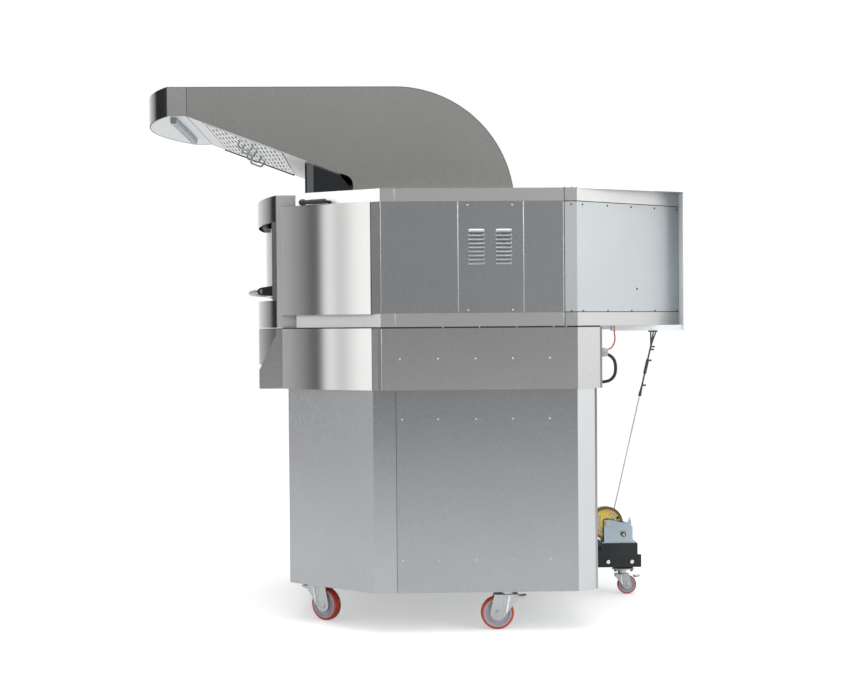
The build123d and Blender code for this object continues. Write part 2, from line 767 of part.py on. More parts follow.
with BuildPart() as heating_elements:
    top_element_z = chamber_ceiling_z - top_element_drop
    for ring_radius in top_element_radii:
        with Locations((chamber_x, 0, top_element_z)):
            Torus(ring_radius, element_radius)
        for hanger in range(4):
            angle = math.radians(45 + 90 * hanger)
            hanger_x = chamber_x + ring_radius * math.cos(angle)
            hanger_y = ring_radius * math.sin(angle)
            with Locations((hanger_x, hanger_y, (top_element_z + chamber_ceiling_z) / 2)):
                Box(6, 6, top_element_drop)
save(heating_elements.part, "heating_elements")

# Hood over the mouth, with its rear swept down to the roof
slope = (hood_lip_z - hood_neck_z) / (hood_neck_start_x - hood_seam_x)
arc_centre_x = hood_rear_x - math.sqrt(hood_arc_radius**2 - (roof_z - (hood_top_z - hood_arc_radius)) ** 2)
arc_centre_z = hood_top_z - hood_arc_radius


def hood_profile(inset):
    """The hood's side, or the same shape one wall smaller, in the XZ plane."""
    top = hood_top_z - inset
    radius = hood_arc_radius - inset
    rear = arc_centre_x + math.sqrt(radius**2 - (roof_z - arc_centre_z) ** 2)
    arc_middle = (
        arc_centre_x + radius * math.sin(math.radians(40)),
        arc_centre_z + radius * math.cos(math.radians(40)),
    )
    neck = hood_neck_x + inset
    lip = hood_lip_z + inset
    neck_z = hood_neck_z - slope * (hood_neck_x - hood_neck_start_x) + inset
    with BuildLine() as line:
        outline_points = [
            (neck, roof_z),
            (neck, neck_z),
            (hood_seam_x + inset, lip),
            (hood_seam_x + inset, top),
            (arc_centre_x, top),
        ]
        FilletPolyline(*outline_points[:3], radius=hood_neck_radius)
        Line((hood_seam_x + inset, lip), (hood_seam_x + inset, top))
        Line((hood_seam_x + inset, top), (arc_centre_x, top))
        ThreePointArc((arc_centre_x, top), arc_middle, (rear, roof_z))
        Line((rear, roof_z), (neck, roof_z))
    return line


hood_throat_width = 2 * hood_half - 40
hood_throat_height = hood_top_z - hood_lip_z - 40


def slope_z(x):
    """The height of the hood's slanted underside at a given X."""
    return hood_lip_z - slope * (x - hood_seam_x)


with BuildPart() as hood_shell:
    with BuildSketch(Plane.XZ.offset(-hood_half)):
        add(hood_profile(0).line)
        make_face()
    extrude(amount=2 * hood_half)
    with BuildSketch(Plane.XZ.offset(-hood_half + sheet)):
        add(hood_profile(sheet).line)
        make_face()
    extrude(amount=2 * hood_half - 2 * sheet, mode=Mode.SUBTRACT)
    opening_points = [
        (filter_start_x, slope_z(filter_start_x) - 20),
        (filter_end_x, slope_z(filter_end_x) - 20),
        (filter_end_x, slope_z(filter_end_x) + 20),
        (filter_start_x, slope_z(filter_start_x) + 20),
    ]
    extrude(side_outline(opening_points, filter_half), amount=2 * filter_half, mode=Mode.SUBTRACT)
    with Locations((hood_seam_x, 0, (hood_lip_z + hood_top_z) / 2)):
        Box(6 * sheet, hood_throat_width, hood_throat_height, mode=Mode.SUBTRACT)
save(hood_shell.part, "hood_shell")

with BuildPart() as hood_nose:
    nose_start = hood_seam_x
    for z_low, inset, height, keep in (
        (hood_lip_z, 0, hood_top_z - hood_lip_z, Mode.ADD),
        (hood_lip_z + sheet, sheet, hood_top_z - hood_lip_z - 2 * sheet, Mode.SUBTRACT),
    ):
        half = hood_half - inset
        with BuildSketch(Plane.XY.offset(z_low)):
            with BuildLine():
                ThreePointArc((hood_front_x + inset / 2, -half), (hood_tip_x + inset, 0), (hood_front_x + inset / 2, half))
                Polyline(
                    (hood_front_x + inset / 2, half),
                    (nose_start + inset, half),
                    (nose_start + inset, -half),
                    (hood_front_x + inset / 2, -half),
                )
            make_face()
        extrude(amount=height, mode=keep)
save(hood_nose.part, "hood_nose")

with BuildPart() as hood_lamp:
    with Locations(Location((lamp_x, 0, hood_lip_z - lamp_radius), (90, 0, 0))):
        Cylinder(lamp_radius, 2 * lamp_half)
    for end in (-1, 1):
        with Locations((lamp_x, end * (lamp_half + 8), hood_lip_z - lamp_radius)):
            Box(36, 16, 2 * lamp_radius)
save(hood_lamp.part, "hood_lamp")

filter_count = 2
filter_gap = 3.0
filter_length = (filter_end_x - filter_start_x) / math.cos(math.atan(slope)) - 2
filter_width = filter_half - filter_gap
slat_pitch = (filter_length - 30) / filter_slats
filter_plane = Plane(
    origin=((filter_start_x + filter_end_x) / 2, 0, slope_z((filter_start_x + filter_end_x) / 2)),
    x_dir=(math.cos(math.atan(slope)), 0, -math.sin(math.atan(slope))),
    z_dir=(math.sin(math.atan(slope)), 0, math.cos(math.atan(slope))),
)
with BuildPart(filter_plane) as hood_filters:
    for side in (-1, 1):
        with Locations((0, side * (filter_width / 2 + filter_gap / 2), 2)):
            Box(filter_length, filter_width, filter_thickness)
            Box(filter_length - 24, filter_width - 24, filter_thickness + 2, mode=Mode.SUBTRACT)
        for slat in range(filter_slats):
            slat_x = (slat - (filter_slats - 1) / 2) * slat_pitch
            with Locations((slat_x, side * (filter_width / 2 + filter_gap / 2), 2)):
                Box(slat_pitch * 0.55, filter_width - 20, 5)
        for grip in (-1, 1):
            grip_y = side * (filter_width / 2 + filter_gap / 2) + grip * 85
            for leg in (-1, 1):
                with Locations((leg * 28, grip_y, -16)):
                    Cylinder(2.5, 32)
            with Locations(Location((0, grip_y, -32), (0, 90, 0))):
                Cylinder(2.5, 61)
save(hood_filters.part, "hood_filters")

with BuildPart() as flue_duct:
    duct_rear_x = hood_neck_x - body_gap
    duct_front_top = slope_z(flue_front_x) - seat_gap
    duct_rear_top = slope_z(duct_rear_x) - 45
    for z_shift, inset, keep in ((0, 0, Mode.ADD), (-1, sheet, Mode.SUBTRACT)):
        with BuildSketch(Plane.XY.offset(roof_z + z_shift)):
            with BuildLine():
                Polyline(
                    (flue_front_x + inset, -(flue_half - flue_corner)),
                    (flue_front_x + flue_corner + inset / 2, -(flue_half - inset)),
                    (duct_rear_x - inset, -(flue_half - inset)),
                    (duct_rear_x - inset, flue_half - inset),
                    (flue_front_x + flue_corner + inset / 2, flue_half - inset),
                    (flue_front_x + inset, flue_half - flue_corner),
                    close=True,
                )
            make_face()
        extrude(amount=160, mode=keep)
    trim_points = [
        (flue_front_x - 10, slope_z(flue_front_x - 10) - seat_gap),
        (hood_neck_start_x - 20, slope_z(hood_neck_start_x - 20) - seat_gap),
        (duct_rear_x, hood_neck_z - 62),
        (duct_rear_x + 20, hood_neck_z - 62),
        (duct_rear_x + 20, hood_top_z),
        (flue_front_x - 10, hood_top_z),
    ]
    extrude(side_outline(trim_points, flue_half + 10), amount=2 * flue_half + 20, mode=Mode.SUBTRACT)
save(flue_duct.part, "flue_duct")

# Damper lever on the right hand front fascia
lever_pivot_x = -297.0
lever_z = 1609.0
lever_reach = 39.0
lever_length = 112.0
lever_angle = math.degrees(math.atan2(along[1], along[0]))
lever_y = -(half_width - fascia_slope * (flat_front_x - lever_pivot_x))
lever_plane = Plane(
    origin=(lever_pivot_x + outward[0] * body_gap, lever_y + outward[1] * body_gap, lever_z),
    x_dir=(-along[0], -along[1], 0),
    z_dir=(outward[0], outward[1], 0),
)
with BuildPart(lever_plane) as damper_lever:
    with Locations((0, 0, (lever_reach + 5) / 2)):
        Cylinder(6, lever_reach + 5)
    with Locations(Location((lever_length / 2 - 4, 0, lever_reach), (0, 90, 0))):
        Cylinder(9.5, lever_length - 8)
    with Locations((lever_length - 10, 0, lever_reach)):
        Sphere(13)
save(damper_lever.part, "damper_lever")

# Castors
castor_pieces = {}


def make_castor(radius, width, trail, top_z, pedal_side):
    """One braked swivel castor about its swivel axis, with the wheel trailing to -X."""
    gap = 3.0
    leg = 3.0
    crown_z = 2 * radius + 0.1 * radius
    crown = 3.0
    head_top = top_z - castor_plate_thickness - 0.3
    axle = 0.096 * radius + 1
    leg_inner = width / 2 + gap
    hub_z = radius
    head_radius = 0.42 * radius
    pedal_pin = 3.0
    pedal_x = 0.56 * radius if pedal_side > 0 else -trail - 0.8 * radius
    pedal_z = crown_z - 6 - pedal_pin
    rear_edge = max(0.62 * radius, pedal_x + 6)
    front_edge = min(-0.62 * radius, pedal_x - 6)
    with BuildPart() as fork:
        with Locations((0, 0, (crown_z + crown + head_top) / 2)):
            Cylinder(head_radius, head_top - crown_z - crown)
        with Locations(((rear_edge + front_edge) / 2, 0, crown_z + crown / 2)):
            Box(rear_edge - front_edge, 2 * (leg_inner + leg), crown)
        for side in (-1, 1):
            with BuildSketch(Plane.XZ.offset(-side * (leg_inner + leg / 2) - leg / 2)):
                with BuildLine():
                    Polyline(
                        (front_edge, crown_z + crown),
                        (front_edge, crown_z - 0.3 * radius),
                        (-trail - 0.26 * radius, hub_z),
                        (-trail - 0.12 * radius, hub_z - 0.24 * radius),
                        (-trail + 0.12 * radius, hub_z - 0.24 * radius),
                        (-trail + 0.3 * radius, hub_z),
                        (rear_edge, crown_z - 0.3 * radius),
                        (rear_edge, crown_z + crown),
                        close=True,
                    )
                make_face()
            extrude(amount=leg)
        with Locations(Location((-trail, 0, hub_z), (90, 0, 0))):
            Cylinder(axle, 2 * (leg_inner + leg) + 8)
        for side in (-1, 1):
            with Locations(Location((-trail, side * (leg_inner + leg + 2.5), hub_z), (90, 0, 0))):
                Cylinder(axle + 3, 5)
        with Locations(Location((pedal_x, 0, pedal_z), (90, 0, 0))):
            Cylinder(pedal_pin, 2 * leg_inner + 2 * leg)
    with BuildPart() as wheel:
        with BuildSketch(Plane.XZ):
            with BuildLine():
                Polyline(
                    (axle + running_fit, -width / 2),
                    (0.32 * radius, -width / 2),
                    (0.34 * radius, -width / 4),
                    (0.7 * radius, -width / 4),
                    (0.74 * radius, -width / 2 + 1),
                    (0.94 * radius, -width / 2 + 1),
                    (radius, -width / 2 + 0.1 * width + 2),
                    (radius, width / 2 - 0.1 * width - 2),
                    (0.94 * radius, width / 2 - 1),
                    (0.74 * radius, width / 2 - 1),
                    (0.7 * radius, width / 4),
                    (0.34 * radius, width / 4),
                    (0.32 * radius, width / 2),
                    (axle + running_fit, width / 2),
                    close=True,
                )
            make_face()
        revolve(axis=Axis.Z)
    turned = wheel.part.rotate(Axis.X, 90).moved(Location((-trail, 0, hub_z)))
    with BuildPart() as pedal:
        with Locations(Location((pedal_x, 0, pedal_z), (90, 0, 0))):
            Cylinder(pedal_pin + 3, 2 * leg_inner - 2)
        with BuildSketch(Plane.XZ.offset(-leg_inner + 1)):
            with BuildLine():
                Polyline(
                    (pedal_x, pedal_z + 1),
                    (pedal_x + pedal_side * 0.26 * radius, pedal_z + 0.04 * radius),
                    (pedal_x + pedal_side * 0.6 * radius, pedal_z + 0.1 * radius),
                    (pedal_x + pedal_side * 0.62 * radius, pedal_z - 0.02 * radius),
                    (pedal_x + pedal_side * 0.3 * radius, pedal_z - 0.1 * radius),
                    (pedal_x, pedal_z - 4),
                    close=True,
                )
            make_face()
        extrude(amount=2 * leg_inner - 2)
        with Locations(Location((pedal_x, 0, pedal_z), (90, 0, 0))):
            Cylinder(pedal_pin + running_fit, 2 * leg_inner + 4, mode=Mode.SUBTRACT)
    return {"fork": fork.part, "wheel": turned, "brake": pedal.part}


main_trail = 0.6 * wheel_radius
small_trail = 0.5 * small_wheel_radius
small_wheel_x = 922.0
main_castor = make_castor(wheel_radius, wheel_width, main_trail, base_bottom_z, 1)
small_castor = make_castor(small_wheel_radius, small_wheel_width, small_trail, bracket_bottom_z, -1)
front_heading = 142.0
castor_wheels = {
    "front_right": (main_castor, main_trail, front_castor_x, -front_castor_half, front_heading),
    "front_left": (main_castor, main_trail, front_castor_x, front_castor_half, -front_heading),
    "rear_right": (main_castor, main_trail, rear_castor_x, -rear_castor_half, 0.0),
    "rear_left": (main_castor, main_trail, rear_castor_x, rear_castor_half, 0.0),
    "winch": (small_castor, small_trail, small_wheel_x, 0.0, 180.0),
}
castor_spots = {}
for spot, (pieces, trail, wheel_x, wheel_y, heading) in castor_wheels.items():
    swivel_x = wheel_x + trail * math.cos(math.radians(heading))
    swivel_y = wheel_y + trail * math.sin(math.radians(heading))
    castor_spots[spot] = (pieces, swivel_x, swivel_y, heading)
    print(spot, "castor swivel", round(swivel_x, 2), round(swivel_y, 2), "wheel", wheel_x, wheel_y)
for spot, (pieces, spot_x, spot_y, heading) in castor_spots.items():
    for kind, piece in pieces.items():
        placed = piece.moved(Location((spot_x, spot_y, 0), (0, 0, heading)))
        save(placed, f"{spot}_castor_{kind}")

with BuildPart() as castor_plates:
    for spot, (pieces, spot_x, spot_y, heading) in castor_spots.items():
        small = spot == "winch"
        plate_top = bracket_bottom_z if small else base_bottom_z
        plate_length = 76.0 if small else 105.0
        plate_width = 60.0 if small else 85.0
        with Locations((spot_x, spot_y, plate_top - castor_plate_thickness / 2)):
            Box(plate_length, plate_width, castor_plate_thickness)
            with GridLocations(plate_length - 25, plate_width - 25, 2, 2):
                Cylinder(4.3, 2 * castor_plate_thickness, mode=Mode.SUBTRACT)
save(castor_plates.part, "castor_plates")

# Winch bracket bolted to the back of the base
with BuildPart() as winch_bracket:
    bracket_start_x = base_rear_x + rear_flange
    bracket_leg_x = winch_front_x - 27
    bracket_post_x = winch_front_x - 14
    flange_points = [
        (bracket_start_x, bracket_bottom_z + 34),
        (bracket_leg_x, bracket_bottom_z + 34),
        (bracket_leg_x, bracket_bottom_z),
        (bracket_end_x, bracket_bottom_z),
        (bracket_end_x, bracket_step_z),
        (bracket_end_x - 15, bracket_step_z),
        (bracket_end_x - 15, bracket_top_z),
        (bracket_post_x, bracket_top_z),
        (bracket_post_x, bracket_step_z + 20),
        (bracket_start_x, bracket_step_z + 20),
    ]
    extrude(side_outline(flange_points, bracket_half), amount=2 * bracket_half)
    inner_points = [
        (bracket_start_x + bracket_wall, bracket_bottom_z + 34 + bracket_wall),
        (bracket_leg_x + bracket_wall, bracket_bottom_z + 34 + bracket_wall),
        (bracket_leg_x + bracket_wall, bracket_bottom_z + bracket_wall),
        (bracket_end_x + 1, bracket_bottom_z + bracket_wall),
        (bracket_end_x + 1, bracket_top_z - bracket_wall),
        (bracket_post_x + bracket_wall, bracket_top_z - bracket_wall),
        (bracket_post_x + bracket_wall, bracket_step_z + 20 - bracket_wall),
        (bracket_start_x + bracket_wall, bracket_step_z + 20 - bracket_wall),
    ]
    extrude(
        side_outline(inner_points, bracket_half - bracket_wall),
        amount=2 * bracket_half - 2 * bracket_wall,
        mode=Mode.SUBTRACT,
    )
    with Locations((bracket_start_x + bracket_wall / 2, 0, bracket_step_z)):
        Box(bracket_wall, 2 * bracket_half + 80, 90)
    for bolt_x in (winch_front_x + 14, winch_rear_x - 6):
        for side in (-1, 1):
            with Locations(Location((bolt_x, side * (bracket_half + 3), bracket_bottom_z + 23), (90, 0, 0))):
                Cylinder(9, 6)
save(winch_bracket.part, "winch_bracket")

# Hand winch
centre_distance = gear_module * (gear_teeth + pinion_teeth) / 2
crank_x = drum_x + centre_distance * math.cos(math.radians(crank_slope))
crank_z = drum_z - centre_distance * math.sin(math.radians(crank_slope))
pawl_x = winch_rear_x - 12
pawl_z = drum_z - 5
pawl_y = -winch_half + 9.0

with BuildPart() as winch_frame:
    frame_points = [
        (winch_front_x, bracket_top_z),
        (winch_rear_x, bracket_top_z),
        (winch_rear_x, drum_z - 13),
        (drum_x + 71, drum_z + 2),
        (drum_x + 10, drum_z + 17),
        (winch_front_x, drum_z + 13),
    ]
    extrude(side_outline(frame_points, winch_half), amount=winch_plate)
    extrude(side_outline(frame_points, -winch_half + winch_plate), amount=winch_plate)
    with Locations(((winch_front_x + winch_rear_x) / 2, 0, bracket_top_z + winch_plate / 2)):
        Box(winch_rear_x - winch_front_x + 20, 2 * winch_half, winch_plate)
    for hole_x, hole_z, hole_radius in ((drum_x, drum_z, 8), (crank_x, crank_z, crank_shaft_radius)):
        with Locations(Location((hole_x, 0, hole_z), (90, 0, 0))):
            Cylinder(hole_radius + running_fit, 4 * winch_half, mode=Mode.SUBTRACT)
    with Locations(Location((pawl_x, -winch_half + 8, pawl_z - 14), (90, 0, 0))):
        Cylinder(4, 16)
save(winch_frame.part, "winch_frame")


def gear_outline(teeth, phase, plane):
    """A spur gear face with straight flanked teeth and some backlash."""
    pitch = gear_module * teeth / 2
    tip = pitch + 0.8 * gear_module
    root = pitch - 1.25 * gear_module
    step = 360 / teeth
    points = []
    for tooth in range(teeth):
        middle = phase + tooth * step
        for offset, radius in ((-0.26, root), (-0.09, tip), (0.09, tip), (0.26, root)):
            angle = math.radians(middle + offset * step)
            points.append((radius * math.cos(angle), radius * math.sin(angle)))
    with BuildSketch(plane) as outline:
        with BuildLine():
            Polyline(*points, close=True)
        make_face()
    return outline.sketch


def ratchet_outline(teeth, outer, inner, plane):
    """A ratchet wheel with saw teeth."""
    points = []
    for tooth in range(teeth):
        for offset, radius in ((0.0, outer), (0.06, inner), (0.94, outer)):
            angle = 2 * math.pi * (tooth + offset) / teeth
            points.append((radius * math.cos(angle), radius * math.sin(angle)))
    with BuildSketch(plane) as outline:
        with BuildLine():
            Polyline(*points, close=True)
        make_face()
    return outline.sketch


gear_width = 8.0
gear_y = 34.0
gear_plane = Plane(origin=(drum_x, gear_y, drum_z), x_dir=(1, 0, 0), z_dir=(0, 1, 0))
pinion_plane = Plane(origin=(crank_x, gear_y, crank_z), x_dir=(1, 0, 0), z_dir=(0, 1, 0))
mesh_angle = crank_slope

with BuildPart() as winch_drum:
    extrude(gear_outline(gear_teeth, mesh_angle, gear_plane), amount=gear_width)
    with Locations(Location((drum_x, 0, drum_z), (90, 0, 0))):
        Cylinder(drum_core_radius, 2 * gear_y + 1)
        Cylinder(8, 2 * winch_half + 8)
    near_flange_y = -gear_y - 3
    with Locations(Location((drum_x, near_flange_y + 1.5, drum_z), (90, 0, 0))):
        Cylinder(flange_radius, 3)
    with Locations(Location((drum_x, near_flange_y + 1.5, drum_z), (90, 0, 0))):
        with PolarLocations(0.66 * flange_radius, 3, start_angle=100):
            Box(9, 34, 8, mode=Mode.SUBTRACT)
save(winch_drum.part, "winch_drum")

with BuildPart() as rope_winding:
    winding_radius = drum_core_radius + rope_radius + 0.5
    winding_height = winding_pitch * winding_loops
    with BuildLine() as winding_path:
        Helix(pitch=winding_pitch, height=winding_height, radius=winding_radius)
    with BuildSketch(Plane(winding_path.line @ 0, z_dir=winding_path.line % 0)):
        Circle(rope_radius)
    sweep(path=winding_path.line, is_frenet=True)
winding = rope_winding.part.rotate(Axis.X, 90).moved(Location((drum_x, winding_height / 2, drum_z)))
print("winding gap between turns", round(winding_pitch - 2 * rope_radius, 2))
save(winding, "rope_winding")

with BuildPart() as winch_crank:
    extrude(gear_outline(pinion_teeth, 180 + mesh_angle + 180 / pinion_teeth, pinion_plane), amount=gear_width)
    arm_y = winch_half + 22
    with Locations(Location((crank_x, (arm_y - winch_half - 10) / 2, crank_z), (90, 0, 0))):
        Cylinder(crank_shaft_radius, arm_y + winch_half + 10)
    with Locations((crank_x, -winch_half - 13, crank_z)):
        Box(10, 6, 10)
    with Locations(Location((crank_x, -winch_half - 3.5, crank_z), (90, 0, 0))):
        Cylinder(13, 6)
    ratchet_plane = Plane(origin=(crank_x, pawl_y - 3, crank_z), x_dir=(1, 0, 0), z_dir=(0, 1, 0))
    extrude(ratchet_outline(12, 15, 12, ratchet_plane), amount=6)
    with Locations((crank_x - crank_arm / 2, arm_y, crank_z)):
        Box(crank_arm + 24, 6, 24)
    with Locations(Location((crank_x - crank_arm, arm_y + 52, crank_z), (90, 0, 0))):
        Cylinder(13, 98)
save(winch_crank.part, "winch_crank")

with BuildPart() as winch_pawl:
    pawl_pin_z = pawl_z - 14
    with Locations(Location((pawl_x, pawl_y, pawl_pin_z), (90, 0, 0))):
        Cylinder(8, 6)
    pawl_points = [
        (pawl_x - 8, pawl_pin_z - 2),
        (crank_x + 15.6, crank_z + 11),
        (crank_x + 20, crank_z + 8),
        (pawl_x + 8, pawl_pin_z),
        (pawl_x + 8, pawl_pin_z + 24),
        (pawl_x, pawl_pin_z + 46),
        (pawl_x - 8, pawl_pin_z + 24),
    ]
    extrude(side_outline(pawl_points, pawl_y + 3), amount=6)
    with Locations(Location((pawl_x, pawl_y, pawl_pin_z), (90, 0, 0))):
        Cylinder(4 + running_fit, 12, mode=Mode.SUBTRACT)
save(winch_pawl.part, "winch_pawl")

# Winch rope, taut from the drum to the sling's thimble
rope_run_x = rope_top_x - drum_x
rope_run_z = tray_bottom_z - drum_z
rope_length = math.hypot(rope_run_x, rope_run_z)
rope_offset = winding_radius + 2 * rope_radius + body_gap
rope_tilt = math.atan2(rope_run_x, rope_run_z) - math.asin(rope_offset / rope_length)
rope_dir = (math.sin(rope_tilt), math.cos(rope_tilt))
rope_start = (drum_x + rope_offset * rope_dir[1], drum_z - rope_offset * rope_dir[0])


def rope_x(z):
    """The taut line's X at a given height."""
    return rope_start[0] + (z - rope_start[1]) * rope_dir[0] / rope_dir[1]


def rope_plane(z):
    """A plane square to the taut line at a given height."""
    return Plane(origin=(rope_x(z), 0, z), x_dir=(0, 1, 0), z_dir=(rope_dir[0], 0, rope_dir[1]))


thimble_length = 42.0
with BuildPart() as winch_rope:
    with BuildSketch(rope_plane(rope_start[1])):
        Circle(rope_radius)
    extrude(amount=(hook_z - rope_start[1]) / rope_dir[1])
save(winch_rope.part, "winch_rope")

sling_radius = 3.5
with BuildPart() as rope_sling:
    with BuildSketch(rope_plane(hook_z + seat_gap)):
        Circle(7)
    with BuildSketch(rope_plane(hook_z + thimble_length)):
        Circle(4)
    loft()
    with BuildSketch(rope_plane(hook_z + thimble_length)):
        Circle(sling_radius)
    extrude(amount=(sling_split_z - hook_z - thimble_length) / rope_dir[1])
    for clip_z in (hook_z + thimble_length + 4, sling_split_z - 60, sling_split_z - 14, sling_split_z - 2):
        with Locations((rope_x(clip_z) + 8, 0, clip_z)):
            Box(16, 12, 7)
    with BuildSketch(rope_plane(hook_z + 95)):
        Circle(6.5)
    extrude(amount=62)
    split_x = rope_x(sling_split_z)
    leg_drop = tray_bottom_z - sling_split_z - hook_height / 2
    for leg_end in (-16, -4, 7):
        leg_x = rope_top_x + leg_end - split_x
        with BuildSketch(Plane(origin=(split_x, 0, sling_split_z), x_dir=(0, 1, 0), z_dir=(leg_x, 0, leg_drop))):
            Circle(3)
        extrude(amount=math.hypot(leg_x, leg_drop))
    with Locations((rear_end_x - 16, 0, tray_bottom_z - hook_height / 2)):
        Box(36, 16, hook_height)
save(rope_sling.part, "rope_sling")


# Cable gland and the two short leads behind the band
gland_x = band_rear_x + rear_flange
with BuildPart() as cable_gland:
    with Locations(Location((gland_x + gland_length / 2, gland_y, gland_z), (0, 90, 0))):
        Cylinder(gland_radius, gland_length)
    for bore_y, bore_z, bore_radius in ((2, -6, supply_cable_radius + 3.5), (-4, 9, sensor_lead_radius + 1.5)):
        with Locations(Location((gland_x + gland_length / 2, gland_y + bore_y, gland_z + bore_z), (0, 90, 0))):
            Cylinder(bore_radius, gland_length + 2, mode=Mode.SUBTRACT)
save(cable_gland.part, "cable_gland")


def lead_radii(points, name):
    """The largest arc that the two runs at each corner allow, printed."""
    radii = []
    for before, corner, after in zip(points, points[1:], points[2:]):
        first = Vector(*corner) - Vector(*before)
        second = Vector(*after) - Vector(*corner)
        turn = math.radians(first.get_angle(second))
        radii.append(0.45 * min(first.length, second.length) / math.tan(turn / 2))
    print(name, "radii", [round(radius, 1) for radius in radii])
    return radii


def lead_tube(points, radius, name):
    """A tube of straight runs joined by tangent arcs."""
    radii = lead_radii(points, name)
    with BuildPart() as tube:
        with BuildLine() as path:
            FilletPolyline(*points, radius=radii)
        with BuildSketch(Plane(path.line @ 0, z_dir=path.line % 0)):
            Circle(radius)
        sweep(path=path.line)
    length = sum(edge.length for edge in path.line.edges())
    print(name, "length", round(length, 1))
    print(name, "volume ratio", round(tube.part.volume / (math.pi * radius**2 * length), 4))
    return tube.part


supply_points = [
    (gland_x + 3, gland_y + 2, gland_z - 6),
    (gland_x + 25, gland_y + 2, gland_z - 6),
    (gland_x + 46, gland_y + 2, gland_z - 18),
    (gland_x + 58, gland_y + 1, gland_z - 39),
    (gland_x + 58, gland_y, gland_z - 79),
    (gland_x + 46, gland_y, gland_z - 100),
    (gland_x + 25, gland_y + 1, gland_z - 112),
    (gland_x, gland_y + 1, gland_z - 112),
]
save(lead_tube(supply_points, supply_cable_radius, "supply_cable"), "supply_cable")

sensor_points = [
    (gland_x + 3, gland_y - 4, gland_z + 9),
    (gland_x + 35, gland_y - 4, gland_z + 9),
    (gland_x + 50, gland_y - 4, gland_z + 26),
    (gland_x + 57, gland_y - 3, gland_z + 51),
    (gland_x + 53, gland_y - 2, gland_z + 76),
    (gland_x + 53, gland_y - 2, shell_bottom_z),
]
save(lead_tube(sensor_points, sensor_lead_radius, "sensor_lead"), "sensor_lead")
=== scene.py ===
"""A deck pizza oven with its hood, castors and rear hand winch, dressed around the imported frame.

Shapes are drawn in millimetres and put into the scene in metres. The mouth faces -X, the rear box faces +X
and the floor is Z = 0. Most pieces are drawn for the right hand side, -Y, and mirrored.
"""

import json
import math

import bmesh
import bpy
import numpy as np
from mathutils import Matrix, Vector


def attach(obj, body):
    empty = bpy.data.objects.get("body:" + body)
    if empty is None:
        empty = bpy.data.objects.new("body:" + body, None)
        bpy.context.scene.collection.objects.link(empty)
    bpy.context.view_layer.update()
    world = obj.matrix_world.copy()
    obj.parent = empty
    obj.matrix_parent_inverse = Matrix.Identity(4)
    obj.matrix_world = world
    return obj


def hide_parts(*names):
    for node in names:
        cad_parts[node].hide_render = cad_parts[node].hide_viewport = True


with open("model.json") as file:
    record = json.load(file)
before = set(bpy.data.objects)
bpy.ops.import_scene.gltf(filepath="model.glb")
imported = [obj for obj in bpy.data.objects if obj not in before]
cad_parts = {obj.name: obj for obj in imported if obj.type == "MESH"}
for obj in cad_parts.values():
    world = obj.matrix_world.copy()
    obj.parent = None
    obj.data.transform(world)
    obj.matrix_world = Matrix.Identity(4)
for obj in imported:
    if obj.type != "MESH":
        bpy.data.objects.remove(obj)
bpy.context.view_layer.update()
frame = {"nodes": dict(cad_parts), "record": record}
nodes = frame["nodes"]
scene = bpy.context.scene

MM = 0.001
ALONG_X, ALONG_Y, ALONG_Z = (1, 0, 0), (0, 1, 0), (0, 0, 1)
NEAR = (0, -1, 0)

# Camera, fitted to the photograph's levels and corners
CAMERA_PLACE = (-0.1155, -5.9717, 1.1527)
CAMERA_TURN = (1.730, -0.769, -0.452)
SENSOR_WIDTH = 36.0
FOCAL_PIXELS, PICTURE_PIXELS = 1419.47, 845.0


def make_camera():
    """A nearly level camera on the oven's right. Its turn is yaw, pitch and roll in degrees."""
    yaw, pitch, roll = (math.radians(angle) for angle in CAMERA_TURN)
    forward = Vector((math.sin(yaw) * math.cos(pitch), math.cos(yaw) * math.cos(pitch), math.sin(pitch)))
    right = Vector((math.cos(yaw), -math.sin(yaw), 0))
    up = right.cross(forward)
    cam_right = right * math.cos(roll) + up * math.sin(roll)
    cam_up = -right * math.sin(roll) + up * math.cos(roll)
    data = bpy.data.cameras.new("camera")
    data.sensor_width = SENSOR_WIDTH
    data.lens = SENSOR_WIDTH * FOCAL_PIXELS / PICTURE_PIXELS
    data.clip_end = 100.0
    camera = bpy.data.objects.new("camera", data)
    turn = Matrix((cam_right, cam_up, -forward)).transposed().to_4x4()
    camera.matrix_world = Matrix.Translation(CAMERA_PLACE) @ turn
    scene.collection.objects.link(camera)
    scene.camera = camera


make_camera()


# Materials
def new_material(name):
    """An empty node material and its Principled shader."""
    material = bpy.data.materials.new(name)
    material.use_nodes = True
    shader = material.node_tree.nodes["Principled BSDF"]
    return material, material.node_tree, shader


def object_pattern(tree, stretch):
    """Object coordinates stretched along each axis."""
    coordinates = tree.nodes.new("ShaderNodeTexCoord")
    mapping = tree.nodes.new("ShaderNodeMapping")
    mapping.inputs["Scale"].default_value = stretch
    tree.links.new(coordinates.outputs["Object"], mapping.inputs["Vector"])
    return mapping.outputs["Vector"]


def noise(tree, vector, scale, detail=3.0, rough=0.6):
    """A noise value from 0 to 1."""
    texture = tree.nodes.new("ShaderNodeTexNoise")
    texture.inputs["Scale"].default_value = scale
    texture.inputs["Detail"].default_value = detail
    texture.inputs["Roughness"].default_value = rough
    tree.links.new(vector, texture.inputs["Vector"])
    return texture.outputs["Fac"]


def spread(tree, value, low, high, from_low=0.3, from_high=0.7):
    """A value carried from one range to another."""
    node = tree.nodes.new("ShaderNodeMapRange")
    node.inputs["From Min"].default_value = from_low
    node.inputs["From Max"].default_value = from_high
    node.inputs["To Min"].default_value = low
    node.inputs["To Max"].default_value = high
    tree.links.new(value, node.inputs["Value"])
    return node.outputs["Result"]


